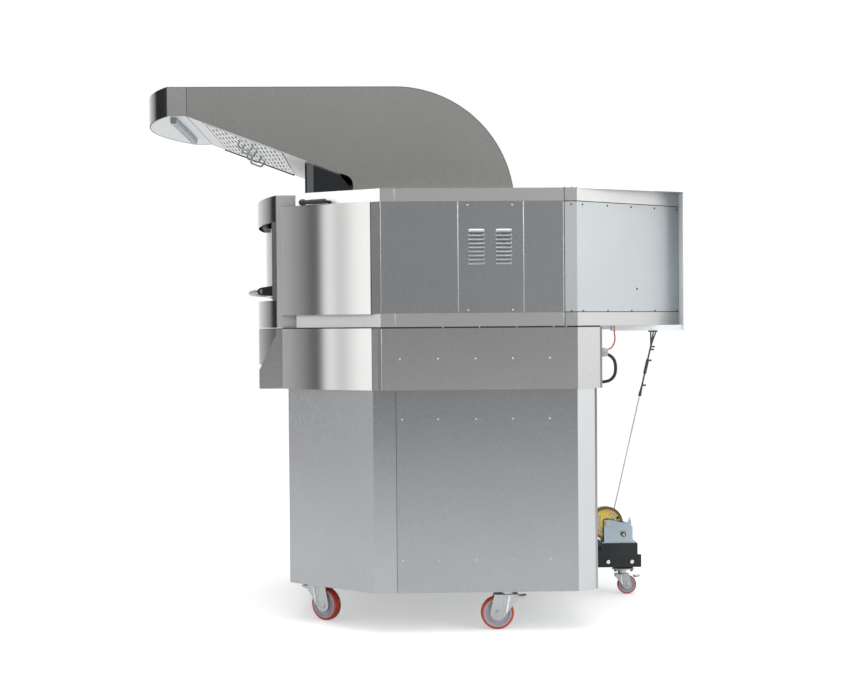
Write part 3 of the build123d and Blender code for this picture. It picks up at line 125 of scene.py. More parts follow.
def many_tones(tree, value, stops):
    """A colour ramp through stops, each a place from 0 to 1 and a colour."""
    ramp = tree.nodes.new("ShaderNodeValToRGB")
    while len(ramp.color_ramp.elements) < len(stops):
        ramp.color_ramp.elements.new(0.5)
    for element, (place, colour) in zip(ramp.color_ramp.elements, stops):
        element.position = place
        element.color = (*colour, 1.0)
    tree.links.new(value, ramp.inputs["Fac"])
    return ramp.outputs["Color"]


def bump(tree, shader, height, strength, distance):
    """A bump from a height value."""
    node = tree.nodes.new("ShaderNodeBump")
    node.inputs["Strength"].default_value = strength
    node.inputs["Distance"].default_value = distance
    tree.links.new(height, node.inputs["Height"])
    tree.links.new(node.outputs["Normal"], shader.inputs["Normal"])
    return node


def feed(tree, socket, value):
    """Links a socket to another one, or sets it to a plain value."""
    if hasattr(value, "is_output"):
        tree.links.new(value, socket)
    else:
        socket.default_value = value


def math_node(tree, operation, first, second):
    """A math node whose inputs are sockets or plain numbers."""
    node = tree.nodes.new("ShaderNodeMath")
    node.operation = operation
    for socket, value in zip(node.inputs, (first, second)):
        feed(tree, socket, value)
    return node.outputs[0]


# Directions of a pattern's grain, as its stretch along each axis, and the depth of the finest grain
EVEN, LEVEL, UPRIGHT = (1, 1, 1), (1, 1, 40), (40, 40, 1)
GRAIN_DEPTH = 0.0004

# The hollow of the base's front corner sheet: its middle in X, half its width, and its depth
DISH_MIDDLE, DISH_HALF, DISH_DEPTH = -0.3045, 0.1625, 0.006


def dished(tree, shader):
    """Tilts the face like a hollow sheet: its height grows with the square of X from the sheet's middle."""
    split = tree.nodes.new("ShaderNodeSeparateXYZ")
    tree.links.new(tree.nodes.new("ShaderNodeTexCoord").outputs["Object"], split.inputs[0])
    off_middle = math_node(tree, "ADD", split.outputs["X"], -DISH_MIDDLE)
    share = math_node(tree, "MULTIPLY", off_middle, 1 / DISH_HALF)
    height = math_node(tree, "MULTIPLY", math_node(tree, "MULTIPLY", share, share), DISH_DEPTH)
    grain_normal = shader.inputs["Normal"].links[0].from_socket
    node = bump(tree, shader, height, 1.0, 1.0)
    tree.links.new(grain_normal, node.inputs["Normal"])


def metal(name, colour, roughness, stretch, grain, variation=0.06, bump_strength=0.02, dish=False):
    """Steel with a fine grain and slow changes of tone over the sheet, dished a little if asked."""
    material, tree, shader = new_material(name)
    shader.inputs["Metallic"].default_value = 1.0
    fine = noise(tree, object_pattern(tree, stretch), grain, 2.0)
    slow = noise(tree, object_pattern(tree, EVEN), 3.0, 2.0)
    dark = tuple(c * (1 - variation) for c in colour)
    light = tuple(min(1.0, c * (1 + variation)) for c in colour)
    tree.links.new(many_tones(tree, slow, [(0.3, dark), (0.7, light)]), shader.inputs["Base Color"])
    rough = spread(tree, fine, roughness * 0.82, roughness * 1.18)
    tree.links.new(rough, shader.inputs["Roughness"])
    bump(tree, shader, fine, bump_strength, GRAIN_DEPTH)
    if dish:
        dished(tree, shader)
    return material


def coated(name, dark, light, roughness, scale=60.0, bump_strength=0.08, bump_distance=GRAIN_DEPTH):
    """Paint, plastic or rubber with a fine uneven skin."""
    material, tree, shader = new_material(name)
    pattern = object_pattern(tree, EVEN)
    slow = noise(tree, pattern, scale * 0.15, 3.0)
    fine = noise(tree, pattern, scale * 12.0, 3.0)
    tree.links.new(many_tones(tree, slow, [(0.3, dark), (0.7, light)]), shader.inputs["Base Color"])
    tree.links.new(spread(tree, fine, roughness * 0.8, roughness * 1.2), shader.inputs["Roughness"])
    bump(tree, shader, fine, bump_strength, bump_distance)
    return material


def tinted_zinc(name):
    """Yellow passivated zinc: bands of gold, green and rose that wander over the face."""
    material, tree, shader = new_material(name)
    shader.inputs["Metallic"].default_value = 1.0
    tint = noise(tree, object_pattern(tree, EVEN), 38.0, 2.0)
    tree.links.new(many_tones(tree, tint, ZINC_TONES), shader.inputs["Base Color"])
    fine = noise(tree, object_pattern(tree, EVEN), 300.0, 2.0)
    tree.links.new(spread(tree, fine, 0.24, 0.38), shader.inputs["Roughness"])
    bump(tree, shader, fine, 0.04, GRAIN_DEPTH)
    return material


# Metals: colour, roughness, grain direction and scale, change of tone, bump, and whether it is dished
METALS = {
    "brushed_steel": ((0.56, 0.575, 0.585), 0.30, LEVEL, 60.0, 0.025),
    "brushed_steel_base": ((0.468, 0.485, 0.495), 0.28, UPRIGHT, 60.0, 0.02),
    "curved_steel": ((0.575, 0.575, 0.57), 0.12, LEVEL, 60.0, 0.02, 0.01),
    "brushed_steel_corner": ((0.53, 0.54, 0.55), 0.26, UPRIGHT, 60.0, 0.02, 0.02, True),
    "brushed_steel_frame": ((0.68, 0.68, 0.67), 0.42, LEVEL, 60.0, 0.02),
    "brushed_steel_band": ((0.60, 0.60, 0.595), 0.30, LEVEL, 60.0, 0.02),
    "brushed_steel_hood": ((0.575, 0.57, 0.55), 0.30, LEVEL, 60.0, 0.025),
    "brushed_steel_rim": ((0.645, 0.647, 0.643), 0.40, LEVEL, 60.0, 0.02),
    "brushed_steel_rail": ((0.585, 0.587, 0.583), 0.40, LEVEL, 60.0, 0.02),
    # painted highlight: a near-white copy of the steel for the fascia's front faces
    "fascia_highlight_steel": ((0.97, 0.97, 0.965), 0.42, LEVEL, 60.0, 0.01),
    # painted light: near-white copies of the steel for the hood's underside
    "soffit_painted_light": ((0.95, 0.975, 0.98), 0.55, EVEN, 60.0, 0.02),
    "soffit_warm_painted_light": ((0.98, 0.97, 0.955), 0.55, EVEN, 60.0, 0.02),
    # painted shade: a darker copy of the steel for the narrow corner returns
    "corner_shade_steel": ((0.42, 0.425, 0.425), 0.30, LEVEL, 60.0, 0.02),
    # painted light: a lighter copy of the base's steel for its rear corner faces
    "base_rear_lit_steel": ((0.68, 0.70, 0.705), 0.34, UPRIGHT, 60.0, 0.02),
    "zinc_rim": ((0.20, 0.155, 0.08), 0.36, EVEN, 150.0, 0.08),
    "brushed_steel_pale": ((0.56, 0.585, 0.60), 0.56, LEVEL, 60.0, 0.02),
    "folded_steel": ((0.56, 0.57, 0.575), 0.60, EVEN, 90.0, 0.03),
    "hood_side_steel": ((0.74, 0.735, 0.735), 0.26, LEVEL, 60.0, 0.02),
    "edge_shade": ((0.16, 0.165, 0.17), 0.45, EVEN, 90.0, 0.03),
    # painted light: a near-white copy of the steel for the downward-facing filters
    "filter_lit_steel": ((0.90, 0.92, 0.93), 0.34, (1, 30, 1), 90.0, 0.03),
    "brass": ((0.78, 0.62, 0.24), 0.30, EVEN, 150.0, 0.06),
    # bright zinc parts, and painted highlights on the castor ribs
    "bright_zinc_and_highlight": ((0.97, 0.98, 0.98), 0.22, EVEN, 200.0, 0.02),
    # painted highlight: a lighter copy of the panel steel for the pressed louvres
    "louvre_highlight_steel": ((0.84, 0.86, 0.88), 0.42, EVEN, 90.0, 0.03),
    "polished_steel": ((0.72, 0.71, 0.70), 0.12, (30, 30, 1), 50.0, 0.015, 0.008),
    # painted shade: a near-black copy of the steel for the flue under the hood, and a paler copy of it for
    # its front face as painted light
    "flue_shaded_steel": ((0.13, 0.14, 0.15), 0.14, LEVEL, 60.0, 0.02),
    "flue_lit_steel": ((0.50, 0.52, 0.53), 0.22, LEVEL, 60.0, 0.02),
    "galvanised_steel": ((0.50, 0.52, 0.53), 0.45, EVEN, 120.0, 0.12, 0.05),
    "lining_steel": ((0.36, 0.34, 0.31), 0.42, (1, 1, 8), 60.0, 0.15, 0.05),
    "zinc_plate": ((0.60, 0.62, 0.62), 0.34, EVEN, 250.0, 0.10, 0.05),
    "yellow_zinc": ((0.70, 0.58, 0.24), 0.32, EVEN, 180.0, 0.22, 0.05),
    "blue_zinc": ((0.50, 0.60, 0.66), 0.34, EVEN, 60.0, 0.12, 0.05),
    "handle_steel": ((0.46, 0.46, 0.46), 0.26, (1, 30, 1), 60.0),
    "element_steel": ((0.20, 0.19, 0.18), 0.55, EVEN, 200.0, 0.2, 0.1),
    "rope_steel": ((0.80, 0.79, 0.78), 0.55, EVEN, 500.0, 0.12, 0.1),
}

# Paints, plastics, rubber and stone: darker tone, lighter tone, roughness, scale, bump and its depth
COATINGS = {
    "sling_dark": ((0.035, 0.04, 0.042), (0.09, 0.10, 0.10), 0.45),
    "shaft_pale": ((0.60, 0.56, 0.52), (0.72, 0.68, 0.63), 0.35),
    "lamp_edge": ((0.62, 0.59, 0.53), (0.72, 0.69, 0.62), 0.40),
    # painted light: the rear plate is near white so that its reflection in the taper panels shows light
    "rear_plate_painted_light": ((0.90, 0.95, 0.97), (0.94, 0.98, 0.99), 0.45),
    "dark_paint": ((0.008, 0.010, 0.011), (0.022, 0.025, 0.027), 0.50),
    "motor_paint": ((0.10, 0.11, 0.12), (0.14, 0.15, 0.16), 0.5),
    "tread_rubber": ((0.50, 0.048, 0.018), (0.62, 0.08, 0.03), 0.36),
    "core_plastic": ((0.42, 0.40, 0.46), (0.52, 0.50, 0.56), 0.38),
    "lever_plastic": ((0.008, 0.009, 0.010), (0.020, 0.023, 0.025), 0.32),
    "gland_plastic": ((0.42, 0.42, 0.39), (0.52, 0.52, 0.48), 0.45),
    "lamp_plastic": ((0.36, 0.43, 0.47), (0.46, 0.53, 0.57), 0.34),
    "lamp_end": ((0.16, 0.18, 0.19), (0.24, 0.26, 0.27), 0.40),
    "cable_black": ((0.006, 0.008, 0.008), (0.014, 0.018, 0.018), 0.40),
    "cable_red": ((0.34, 0.03, 0.012), (0.46, 0.055, 0.02), 0.36),
    # black parts, and dark strips and sheets of painted shade in joints and slots
    "black_and_painted_shade": ((0.012, 0.014, 0.014), (0.02, 0.022, 0.022), 0.6),
    "deck_stone": ((0.48, 0.42, 0.34), (0.64, 0.58, 0.49), 0.85, 40.0, 0.3, 0.001),
}
# Tones of the passivated drum, each after its place in the pattern
ZINC_TONES = [
    (0.30, (0.56, 0.52, 0.06)), (0.42, (0.74, 0.62, 0.10)), (0.50, (0.66, 0.36, 0.22)),
    (0.58, (0.62, 0.60, 0.08)), (0.70, (0.34, 0.42, 0.08)),
]
materials = {name: metal(name, *row) for name, row in METALS.items()}
materials.update({name: coated(name, *row) for name, row in COATINGS.items()})
materials["drum_zinc"] = tinted_zinc("drum_zinc")

# Materials of the CAD nodes: by node, else by slot, else the material of the slot's own name
SLOT_MATERIALS = {
    "winch_zinc": "blue_zinc",
    "motor_grey": "motor_paint",
    "castor_tread": "tread_rubber",
    "lever_black": "lever_plastic",
    "gland_grey": "gland_plastic",
    "lamp_cover": "lamp_plastic",
    "stone": "deck_stone",
}
NODE_MATERIALS = {
    "base_corner_panels": "brushed_steel_corner",
    "housing_front_panels": "curved_steel",
    "band_front_panels": "curved_steel",
    "front_frame": "brushed_steel_frame",
    "base_side_panels": "brushed_steel_base",
    "base_front_panel": "brushed_steel_base",
    "base_rear_panel": "brushed_steel_base",
    "band_side_panels": "brushed_steel_band",
    "band_rear_panel": "brushed_steel_band",
    "hood_shell": "brushed_steel_hood",
    "hood_nose": "polished_steel",
    "lower_rail": "brushed_steel_rail",
    "roof_cover": "brushed_steel_rim",
    "rope_sling": "sling_dark",
    "rear_plate": "rear_plate_painted_light",
    "rear_taper_panels": "brushed_steel_pale",
    "hood_filters": "brushed_steel_pale",
    "flue_duct": "flue_shaded_steel",
}
for entry in frame["record"]["subparts"]:
    piece = nodes[entry["node"]]
    piece.data.materials.clear()
    slot = entry["material_slot"]
    chosen = NODE_MATERIALS.get(entry["node"], SLOT_MATERIALS.get(slot, slot))
    piece.data.materials.append(materials[chosen])


# Surfaces
def grid_quads(rows, columns, close_rows, close_columns):
    """Corner numbers of every quad of a grid, with its last row or column joined to its first if asked."""
    row = np.arange(rows if close_rows else rows - 1)
    column = np.arange(columns if close_columns else columns - 1)
    r, c = np.meshgrid(row, column, indexing="ij")
    r, c = r.ravel(), c.ravel()
    next_r, next_c = (r + 1) % rows, (c + 1) % columns
    here, there = r * columns, next_r * columns
    return np.stack([here + c, here + next_c, there + next_c, there + c], 1)


def make_piece(name, surfaces, material, body, smooth=35.0, replaces=(), slot=None):
    """One mesh of several grids, each (points, rows closed, columns closed), with its doubles merged."""
    points, quads, start = [], [], 0
    for grid, close_rows, close_columns in surfaces:
        grid = np.asarray(grid, float)
        rows, columns = grid.shape[:2]
        points.append(grid.reshape(-1, 3))
        quads.append(grid_quads(rows, columns, close_rows, close_columns) + start)
        start += rows * columns
    mesh = bpy.data.meshes.new(name)
    mesh.from_pydata((np.concatenate(points) * MM).tolist(), [], np.concatenate(quads).tolist())
    finish_piece(name, mesh, material, body, smooth, replaces, slot)


def finish_piece(name, mesh, material, body, smooth, replaces, slot):
    """Merge doubles, point the faces outwards, set smooth shading under an angle, and ride on a body."""
    work = bmesh.new()
    work.from_mesh(mesh)
    bmesh.ops.remove_doubles(work, verts=work.verts, dist=2e-6)
    bmesh.ops.dissolve_degenerate(work, edges=work.edges, dist=1e-7)
    bmesh.ops.recalc_face_normals(work, faces=work.faces)
    work.to_mesh(mesh)
    work.free()
    mesh.materials.append(materials[material])
    piece = bpy.data.objects.new(name, mesh)
    scene.collection.objects.link(piece)
    mesh.polygons.foreach_set("use_smooth", np.full(len(mesh.polygons), smooth > 0))
    if smooth > 0:
        mesh.set_sharp_from_angle(angle=math.radians(smooth))
    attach(piece, body)
    if replaces:
        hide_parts(*replaces)


def basis(axis):
    """An axis made one long, and two unit vectors square to it."""
    axis = np.asarray(axis, float) / np.linalg.norm(axis)
    helper = np.array([0.0, 0.0, 1.0]) if abs(axis[2]) < 0.9 else np.array([1.0, 0.0, 0.0])
    first = np.cross(helper, axis)
    first /= np.linalg.norm(first)
    return axis, first, np.cross(axis, first)


def turned(profile, centre, axis, sides=40):
    """A shape of revolution: each (along, radius) of the profile is carried round the axis."""
    profile = np.asarray(profile, float)
    axis, first, second = basis(axis)
    angle = np.linspace(0, 2 * np.pi, sides, endpoint=False)
    ring = np.cos(angle)[:, None] * first + np.sin(angle)[:, None] * second
    points = np.asarray(centre, float) + profile[:, :1, None] * axis + profile[:, 1:, None] * ring[None]
    return points, False, True


def knob(length, radius, edge=1.0, start=0.0):
    """The profile of a solid rod with rounded edges, from its start along its axis."""
    arc = np.linspace(0, np.pi / 2, 4)
    head = np.stack([start + edge * (1 - np.sin(arc[::-1])), radius - edge * (1 - np.cos(arc[::-1]))], 1)
    tail = np.stack([start + length - edge * (1 - np.sin(arc)), radius - edge * (1 - np.cos(arc))], 1)
    return np.concatenate([[[start, 0]], head, tail, [[start + length, 0]]])


def tube(path, radius, sides=16, flat=ALONG_Z):
    """A round bar: a circle carried along a path, kept square to it, with closed ends."""
    path = np.asarray(path, float)
    tangent = np.gradient(path, axis=0)
    tangent /= np.linalg.norm(tangent, axis=1)[:, None]
    side = np.cross(tangent, np.asarray(flat, float))
    side /= np.linalg.norm(side, axis=1)[:, None]
    up = np.cross(side, tangent)
    angle = np.linspace(0, 2 * np.pi, sides, endpoint=False)
    radius = np.broadcast_to(np.asarray(radius, float), (len(path),))
    ring = np.cos(angle)[None, :, None] * side[:, None] + np.sin(angle)[None, :, None] * up[:, None]
    points = path[:, None] + radius[:, None, None] * ring
    start = np.broadcast_to(path[:1, None], (1, sides, 3))
    end = np.broadcast_to(path[-1:, None], (1, sides, 3))
    return np.concatenate([start, points, end]), False, True


def rounded_path(points, radius, steps=6):
    """A path with each inner corner replaced by an arc of the given radius."""
    points = np.asarray(points, float)
    pieces = [points[:1]]
    for before, corner, after in zip(points, points[1:], points[2:]):
        first = (before - corner) / np.linalg.norm(before - corner)
        second = (after - corner) / np.linalg.norm(after - corner)
        half = np.arccos(np.clip(first @ second, -1, 1)) / 2
        shorter = min(np.linalg.norm(before - corner), np.linalg.norm(after - corner))
        reach = min(radius / np.tan(half), 0.49 * shorter)
        bend = reach * np.tan(half)
        middle = corner + (first + second) / np.linalg.norm(first + second) * bend / np.sin(half)
        start, end = corner + first * reach - middle, corner + second * reach - middle
        share = np.linspace(0, 1, steps)[:, None]
        sweep = np.pi - 2 * half
        arc = (np.sin((1 - share) * sweep) * start + np.sin(share * sweep) * end) / np.sin(sweep)
        pieces.append(middle + arc)
    pieces.append(points[-1:])
    return np.concatenate(pieces)


def offset_path(path, distance):
    """A plan path moved to its left by a distance."""
    path = np.asarray(path, float)
    run = np.diff(path, axis=0)
    run /= np.linalg.norm(run, axis=1)[:, None]
    normal = np.stack([-run[:, 1], run[:, 0]], 1)
    before = np.concatenate([normal[:1], normal])
    after = np.concatenate([normal, normal[-1:]])
    scale = distance / (1 + (before * after).sum(1))
    return path + scale[:, None] * (before + after)


def folded_sheet(path, low, high, thickness):
    """A bent sheet standing on its plan path, closed at its two ends."""
    outer = np.asarray(path, float)
    inner = offset_path(outer, thickness)
    level = lambda plan, z: np.column_stack([plan, np.full(len(plan), z)])
    ring = np.stack([level(outer, low), level(outer, high), level(inner, high), level(inner, low)])
    ends = [ring[:, i] for i in (0, -1)]
    caps = [(np.array([[e[0], e[1]], [e[3], e[2]]]), False, False) for e in ends]
    return [(ring, True, False)] + caps


def mirrored(surfaces):
    """The surfaces and their mirror images across Y = 0."""
    flip = np.array([1.0, -1.0, 1.0])
    return surfaces + [(np.asarray(grid) * flip, rows, columns) for grid, rows, columns in surfaces]


def plate(outline, thickness, origin, first, second):
    """A flat plate: a closed outline carried along the normal of its plane, with fan faces on both sides."""
    outline = np.asarray(outline, float)
    first, second = np.asarray(first, float), np.asarray(second, float)
    normal = np.cross(first, second)
    flat = np.asarray(origin, float) + outline[:, :1] * first + outline[:, 1:] * second
    centre = np.broadcast_to(flat.mean(0), flat.shape)
    lift = normal * thickness
    return np.stack([centre, flat, flat + lift, centre + lift]), False, True


def block(low, high, edge=0.8):
    """A box with chamfered edges, as a ring of eight plan points carried up through four levels."""
    low, high = np.asarray(low, float), np.asarray(high, float)
    size = high - low
    edge = min(edge, 0.45 * size.min())

    def ring(inset, z):
        x0, y0, x1, y1 = low[0] + inset, low[1] + inset, high[0] - inset, high[1] - inset
        return [
            (x0 + edge, y0, z), (x1 - edge, y0, z), (x1, y0 + edge, z), (x1, y1 - edge, z),
            (x1 - edge, y1, z), (x0 + edge, y1, z), (x0, y1 - edge, z), (x0, y0 + edge, z),
        ]

    centre = (low + high) / 2
    bottom = [(centre[0], centre[1], low[2])] * 8
    top = [(centre[0], centre[1], high[2])] * 8
    lower = [ring(edge, low[2]), ring(0, low[2] + edge)]
    upper = [ring(0, high[2] - edge), ring(edge, high[2])]
    return np.array([bottom, *lower, *upper, top], float), False, True


def placed(surfaces, heading, x, y):
    """Surfaces turned about Z by a heading in degrees, then moved in plan."""
    c, s = math.cos(math.radians(heading)), math.sin(math.radians(heading))
    turn = np.array([[c, s, 0], [-s, c, 0], [0, 0, 1]])
    place = np.array([x, y, 0])
    return [(np.asarray(grid) @ turn + place, rows, columns) for grid, rows, columns in surfaces]


# Plan of the shell, as the CAD has it, right hand half
FRONT_CORNER = np.array([-488.0, -520.0])
FLAT_FRONT = np.array([-111.0, -750.0])
FLAT_REAR = np.array([616.0, -750.0])
REAR_CORNER = np.array([1056.0, -452.0])
front_run, rear_run = FLAT_FRONT - FRONT_CORNER, REAR_CORNER - FLAT_REAR
along = front_run / np.linalg.norm(front_run)
outward = np.array([along[1], -along[0]])
taper = rear_run / np.linalg.norm(rear_run)
taper_normal = (taper[1], -taper[0], 0)

# Screw heads: the dome's profile is made of distances along its axis and radii
DOME = [(0, 3.6), (0.6, 3.6), (1.3, 3.0), (1.9, 1.7), (2.1, 0)]


def screw(x, y, z, normal, size=1.0):
    """A low domed screw head on a face."""
    profile = np.array(DOME) * size
    profile = np.concatenate([[[-0.3, 0], [-0.3, profile[0, 1]]], profile[1:]])
    return turned(profile, (x, y, z), normal, 12)


screws, dark_screws = [], []
for x in (-35, 98, 239, 376, 513):
    for z in (795, 272):
        screws.append(screw(x, -730, z, NEAR))
for x in (-42, 99, 237, 375, 513):
    screws.append(screw(x, -750, 1019, NEAR))
for x in (211.5, 377):
    for z in (1585, 1198):
        screws.append(screw(x, -749, z, NEAR))
for z in (1587, 1193):
    dark_screws.append(screw(595, -749, z, NEAR, 1.1))
    for x in (639, 743, 845, 947, 1046):
        y = (x - FLAT_REAR[0]) * rear_run[1] / rear_run[0] - 748.8
        dark_screws.append(screw(x, y, z, taper_normal, 1.15))
dark_screws.append(screw(868.0, -578.1, 1276.0, taper_normal, 1.3))
make_piece("panel_screws", mirrored(screws), "zinc_plate", "oven", slot="zinc_plate")
make_piece("rear_screws", mirrored(dark_screws), "edge_shade", "oven")

# Joints where the panels meet the rail, the fascia, the band and each other: thin black strips of painted
# shade for the shadow in each gap
RAIL_TOP, FASCIA_BOTTOM = 1188.0, 1600.0


def strip(path, low, high, proud=0.3, thickness=0.25):
    """A thin upright strip that stands a little proud of the sheet along its plan path."""
    return folded_sheet(offset_path(path, -proud), low, high, thickness)


rear_path = np.array([(568.0, -749.0), (616.2, -749.0), (1054.0, -452.5)])
band_path = np.array([FRONT_CORNER + along * 2.0, FLAT_FRONT, FLAT_REAR, (708.0, -690.0)])
joint_shade_strips = strip(rear_path, RAIL_TOP - 0.6, RAIL_TOP + 2.8, 0.5)
joint_shade_strips += strip(rear_path, FASCIA_BOTTOM - 2.8, FASCIA_BOTTOM + 0.6, 0.5)
joint_shade_strips += strip(band_path, 1132.8, 1138.4, 0.5)
for low, high, y in (
    (RAIL_TOP, FASCIA_BOTTOM, -749.0),
    (1138.5, RAIL_TOP, -750.0),
    (FASCIA_BOTTOM, 1646.5, -750.0),
):
    joint_shade_strips += strip(np.array([(568.3, y), (570.6, y)]), low, high)
joint_shade_strips += strip(np.array([(-858.4, -431.0), (-855.4, -431.0)]), 1963.0, 2074.0)
make_piece("panel_joint_shade", mirrored(joint_shade_strips), "black_and_painted_shade", "oven", 0)


def bead(x, y, low, high, radius):
    """A folded edge: a half round run standing on a panel."""
    path = [(x, y, z) for z in (low, low + 1, high - 1, high)]
    return tube(path, [0.4, radius, radius, 0.4], 14, ALONG_Y)


beads = [bead(x, -748.4, RAIL_TOP + 1, FASCIA_BOTTOM - 1, 2.1) for x in (175.5, 418.0)]
beads.append(bead(565.6, -748.4, RAIL_TOP + 1, FASCIA_BOTTOM - 1, 2.2))
beads.append(bead(565.6, -749.2, 1140, RAIL_TOP - 1, 1.6))
make_piece("panel_edge_folds", mirrored(beads), "folded_steel", "oven", 60)

# Narrow faces beside the corners, each a bent edge of its sheet, in darker and lighter copies of the steel:
# painted shade on the corner returns, painted light on the fascia's front faces and the base's rear faces
corner_line = np.array([(-143.4, -740.1), (-111.2, -750.2)])
corners = strip(corner_line, 1188.4, 1599.6, 0.35) + strip(corner_line, 905.4, 1133.0, 0.35)
make_piece("corner_returns", mirrored(corners), "corner_shade_steel", "oven", 30)
# The fascia's front faces carry a painted highlight
fascia = strip(np.array([(-430.5, -555.3), (-111.3, -749.8)]), 1600.5, 1647.5, 0.35)
make_piece("fascia_front_faces", mirrored(fascia), "fascia_highlight_steel", "oven", 30)
# The base's rear corner faces are a lighter copy of the steel as painted light
base_rear = strip(np.array([(616.4, -729.8), (687.0, -682.0)]), 153.0, 904.5, 0.35)
make_piece("base_rear_faces", mirrored(base_rear), "base_rear_lit_steel", "oven", 30)
EDGE_LINES = [
    (-109.5, -749.6, 1189, 1599, 1.4),
    (-58.0, -749.8, 1601, 1647, 1.6),
    (-58.0, -749.8, 1139, 1187, 1.6),
    (-109.5, -749.6, 906, 1132, 1.4),
]
make_piece("corner_edge_lines", mirrored([bead(*line) for line in EDGE_LINES]), "folded_steel", "oven", 60)

# Spacers in the joint over the band, and screws on the roof's edge
spacers = []
for x in (118.0, 253.0, 390.5, 527.0, 573.0):
    spacers.append(block((x - 2.5, -751.2, 1134.0), (x + 2.5, -749.6, 1138.0), 0.4))
make_piece("joint_spacers", mirrored(spacers), "bright_zinc_and_highlight", "oven", 30)
caps = [screw(x, y, 1648.0, ALONG_Z, 1.5) for x, y in ((571, -742), (599, -742), (618, -738), (695, -688))]
make_piece("roof_screws", mirrored(caps), "edge_shade", "oven", 40)

# Hood: its slanted underside falls from the joint under the nose towards the throat
HOOD_LIP, NOSE_JOINT, HOOD_RADIUS = 1962.0, -857.0, 800.0
HOOD_SLOPE = 227.0 / 606.0
THETA = math.atan(HOOD_SLOPE)
FILTER_MIDDLE = -645.0


def bowed_front(y, tip, radius):
    """Where a bowed front lies at a given Y, for a front whose middle is at tip."""
    return tip + radius - np.sqrt(radius**2 - np.asarray(y, float) ** 2)


def slope_line(y):
    """The lower edge of a side of the hood, from the nose to the throat."""
    places = (NOSE_JOINT, -650.0, -450.0, -262.0)
    return [(x, y, HOOD_LIP + 0.3 - HOOD_SLOPE * (x - NOSE_JOINT)) for x in places]


def on_slope(surfaces):
    """Surfaces drawn flat, with X down the slope and Z square to it, laid on the hood's underside."""
    c, s = math.cos(THETA), math.sin(THETA)
    turn = np.array([[c, 0, -s], [0, 1, 0], [s, 0, c]])
    origin = np.array([FILTER_MIDDLE, 0.0, HOOD_LIP - HOOD_SLOPE * (FILTER_MIDDLE - NOSE_JOINT)])
    return [(np.asarray(grid, float) @ turn + origin, rows, columns) for grid, rows, columns in surfaces]


# Cheeks of the nose, and the hood's edges
cheek = [block((-931.0, -431.45, 1962.4), (-857.6, -430.9, 2074.6), 0.2)]
make_piece("hood_cheeks", mirrored(cheek), "hood_side_steel", "oven", 30)
angle = np.radians(np.linspace(90.0, 5.0, 40))
sweep = np.column_stack([-50.28 + 465.6 * np.cos(angle), np.full(40, -431.2), 1608.0 + 465.6 * np.sin(angle)])
top_edge = np.concatenate([[(-931.0, -431.2, 2073.6), (-500.0, -431.2, 2073.6)], sweep])
nose_y = np.linspace(-430.5, 430.5, 41)
nose_rim = np.column_stack([bowed_front(nose_y, -1055.6, HOOD_RADIUS), nose_y, np.full(41, 1962.3)])
far_lip = np.concatenate([nose_rim[-1:], [(-862.0, 430.6, 1962.3)]])
fold = [(NOSE_JOINT, y, 1962.2) for y in (-429.0, -140.0, 140.0, 429.0)]
edges = [tube(top_edge, 1.3, 8, ALONG_Y), tube(nose_rim, 2.2, 8), tube(far_lip, 2.2, 8)]
edges += [tube(slope_line(430.6), 2.2, 8, ALONG_Y), tube(slope_line(-430.9), 1.0, 8, ALONG_Y)]
edges.append(tube(fold, 1.6, 8))
make_piece("hood_edge_lines", edges, "edge_shade", "oven", 60)

# Near-white sheets of painted light under the nose and on the slanted underside, a painted reflection of the
# bright floor
light_sheet_y = np.linspace(-428.0, 428.0, 33)
front_rows, back_rows = (
    [np.column_stack([x, light_sheet_y, np.full(33, z)]) for z in (1961.9, 1961.4)]
    for x in (bowed_front(light_sheet_y, -1053.5, HOOD_RADIUS), np.full(33, -859.0))
)
nose_light_sheets = [(np.stack([back_rows[0], *front_rows, back_rows[1]]), True, False)]
for k in (0, -1):
    nose_light_sheets.append((np.array([[row[k] for row in rows] for rows in (back_rows, front_rows)]), False, False))
make_piece("nose_painted_light", nose_light_sheets, "soffit_painted_light", "oven", 30)
slab = [block((x0, -429.0, -0.6), (x1, 429.0, 0.2), 0.1) for x0, x1 in ((-225.0, -166.0), (166.0, 408.0))]
for side in (-1, 1):
    slab.append(block((-166.5, side * 412 - 17, -0.6), (166.5, side * 412 + 17, 0.2), 0.1))
make_piece("slope_painted_light", on_slope(slab), "soffit_warm_painted_light", "oven", 30)

# Hood filters: frames, slats with slots, and wire grips. The frames and slats are a lighter copy of the steel
# as painted light, the slots are a dark backing of painted shade, and a dark strip of painted shade runs
# along the far edge
SLATS, SLAT_PITCH = 15, 20.3
frames, slats, slot_shade, grips = [], [], [], []
for side in (-1, 1):
    y0, y1 = sorted((side * 1.5, side * 393.5))
    bars = [(-164.5, -152.5, y0, y1), (152.5, 164.5, y0, y1)]
    bars += [(-152.8, 152.8, y0, y0 + 8), (-152.8, 152.8, y1 - 8, y1)]
    frames += [block((x0, low, -5.0), (x1, high, 9.0)) for x0, x1, low, high in bars]
    frames.append(block((-152.8, y0 + 1, 6.0), (152.8, y1 - 1, 8.0)))
    slot_shade.append(block((-152.6, y0 + 7.8, -1.6), (152.6, y1 - 7.8, 3.0), 0.4))
    for row in range(SLATS):
        x = (row - SLATS // 2) * SLAT_PITCH
        slats.append(block((x - 6.4, y0 + 6, -4.6), (x + 6.4, y1 - 6, -1.8), 0.9))
        for web in range(3):
            y = y0 + 50 + 122 * web + (58 if row % 2 else 0)
            slats.append(block((x + 6.0, y - 19, -4.2), (x + 14.3, y + 19, -1.8), 0.5))
    for grip in (-1, 1):
        y = side * 197.5 + grip * 85
        route = rounded_path([(-20, y, -3), (-24, y, -32), (32, y, -32), (36, y, -3)], 12.0)
        grips.append(tube(route, 3.9, 12, ALONG_Y))
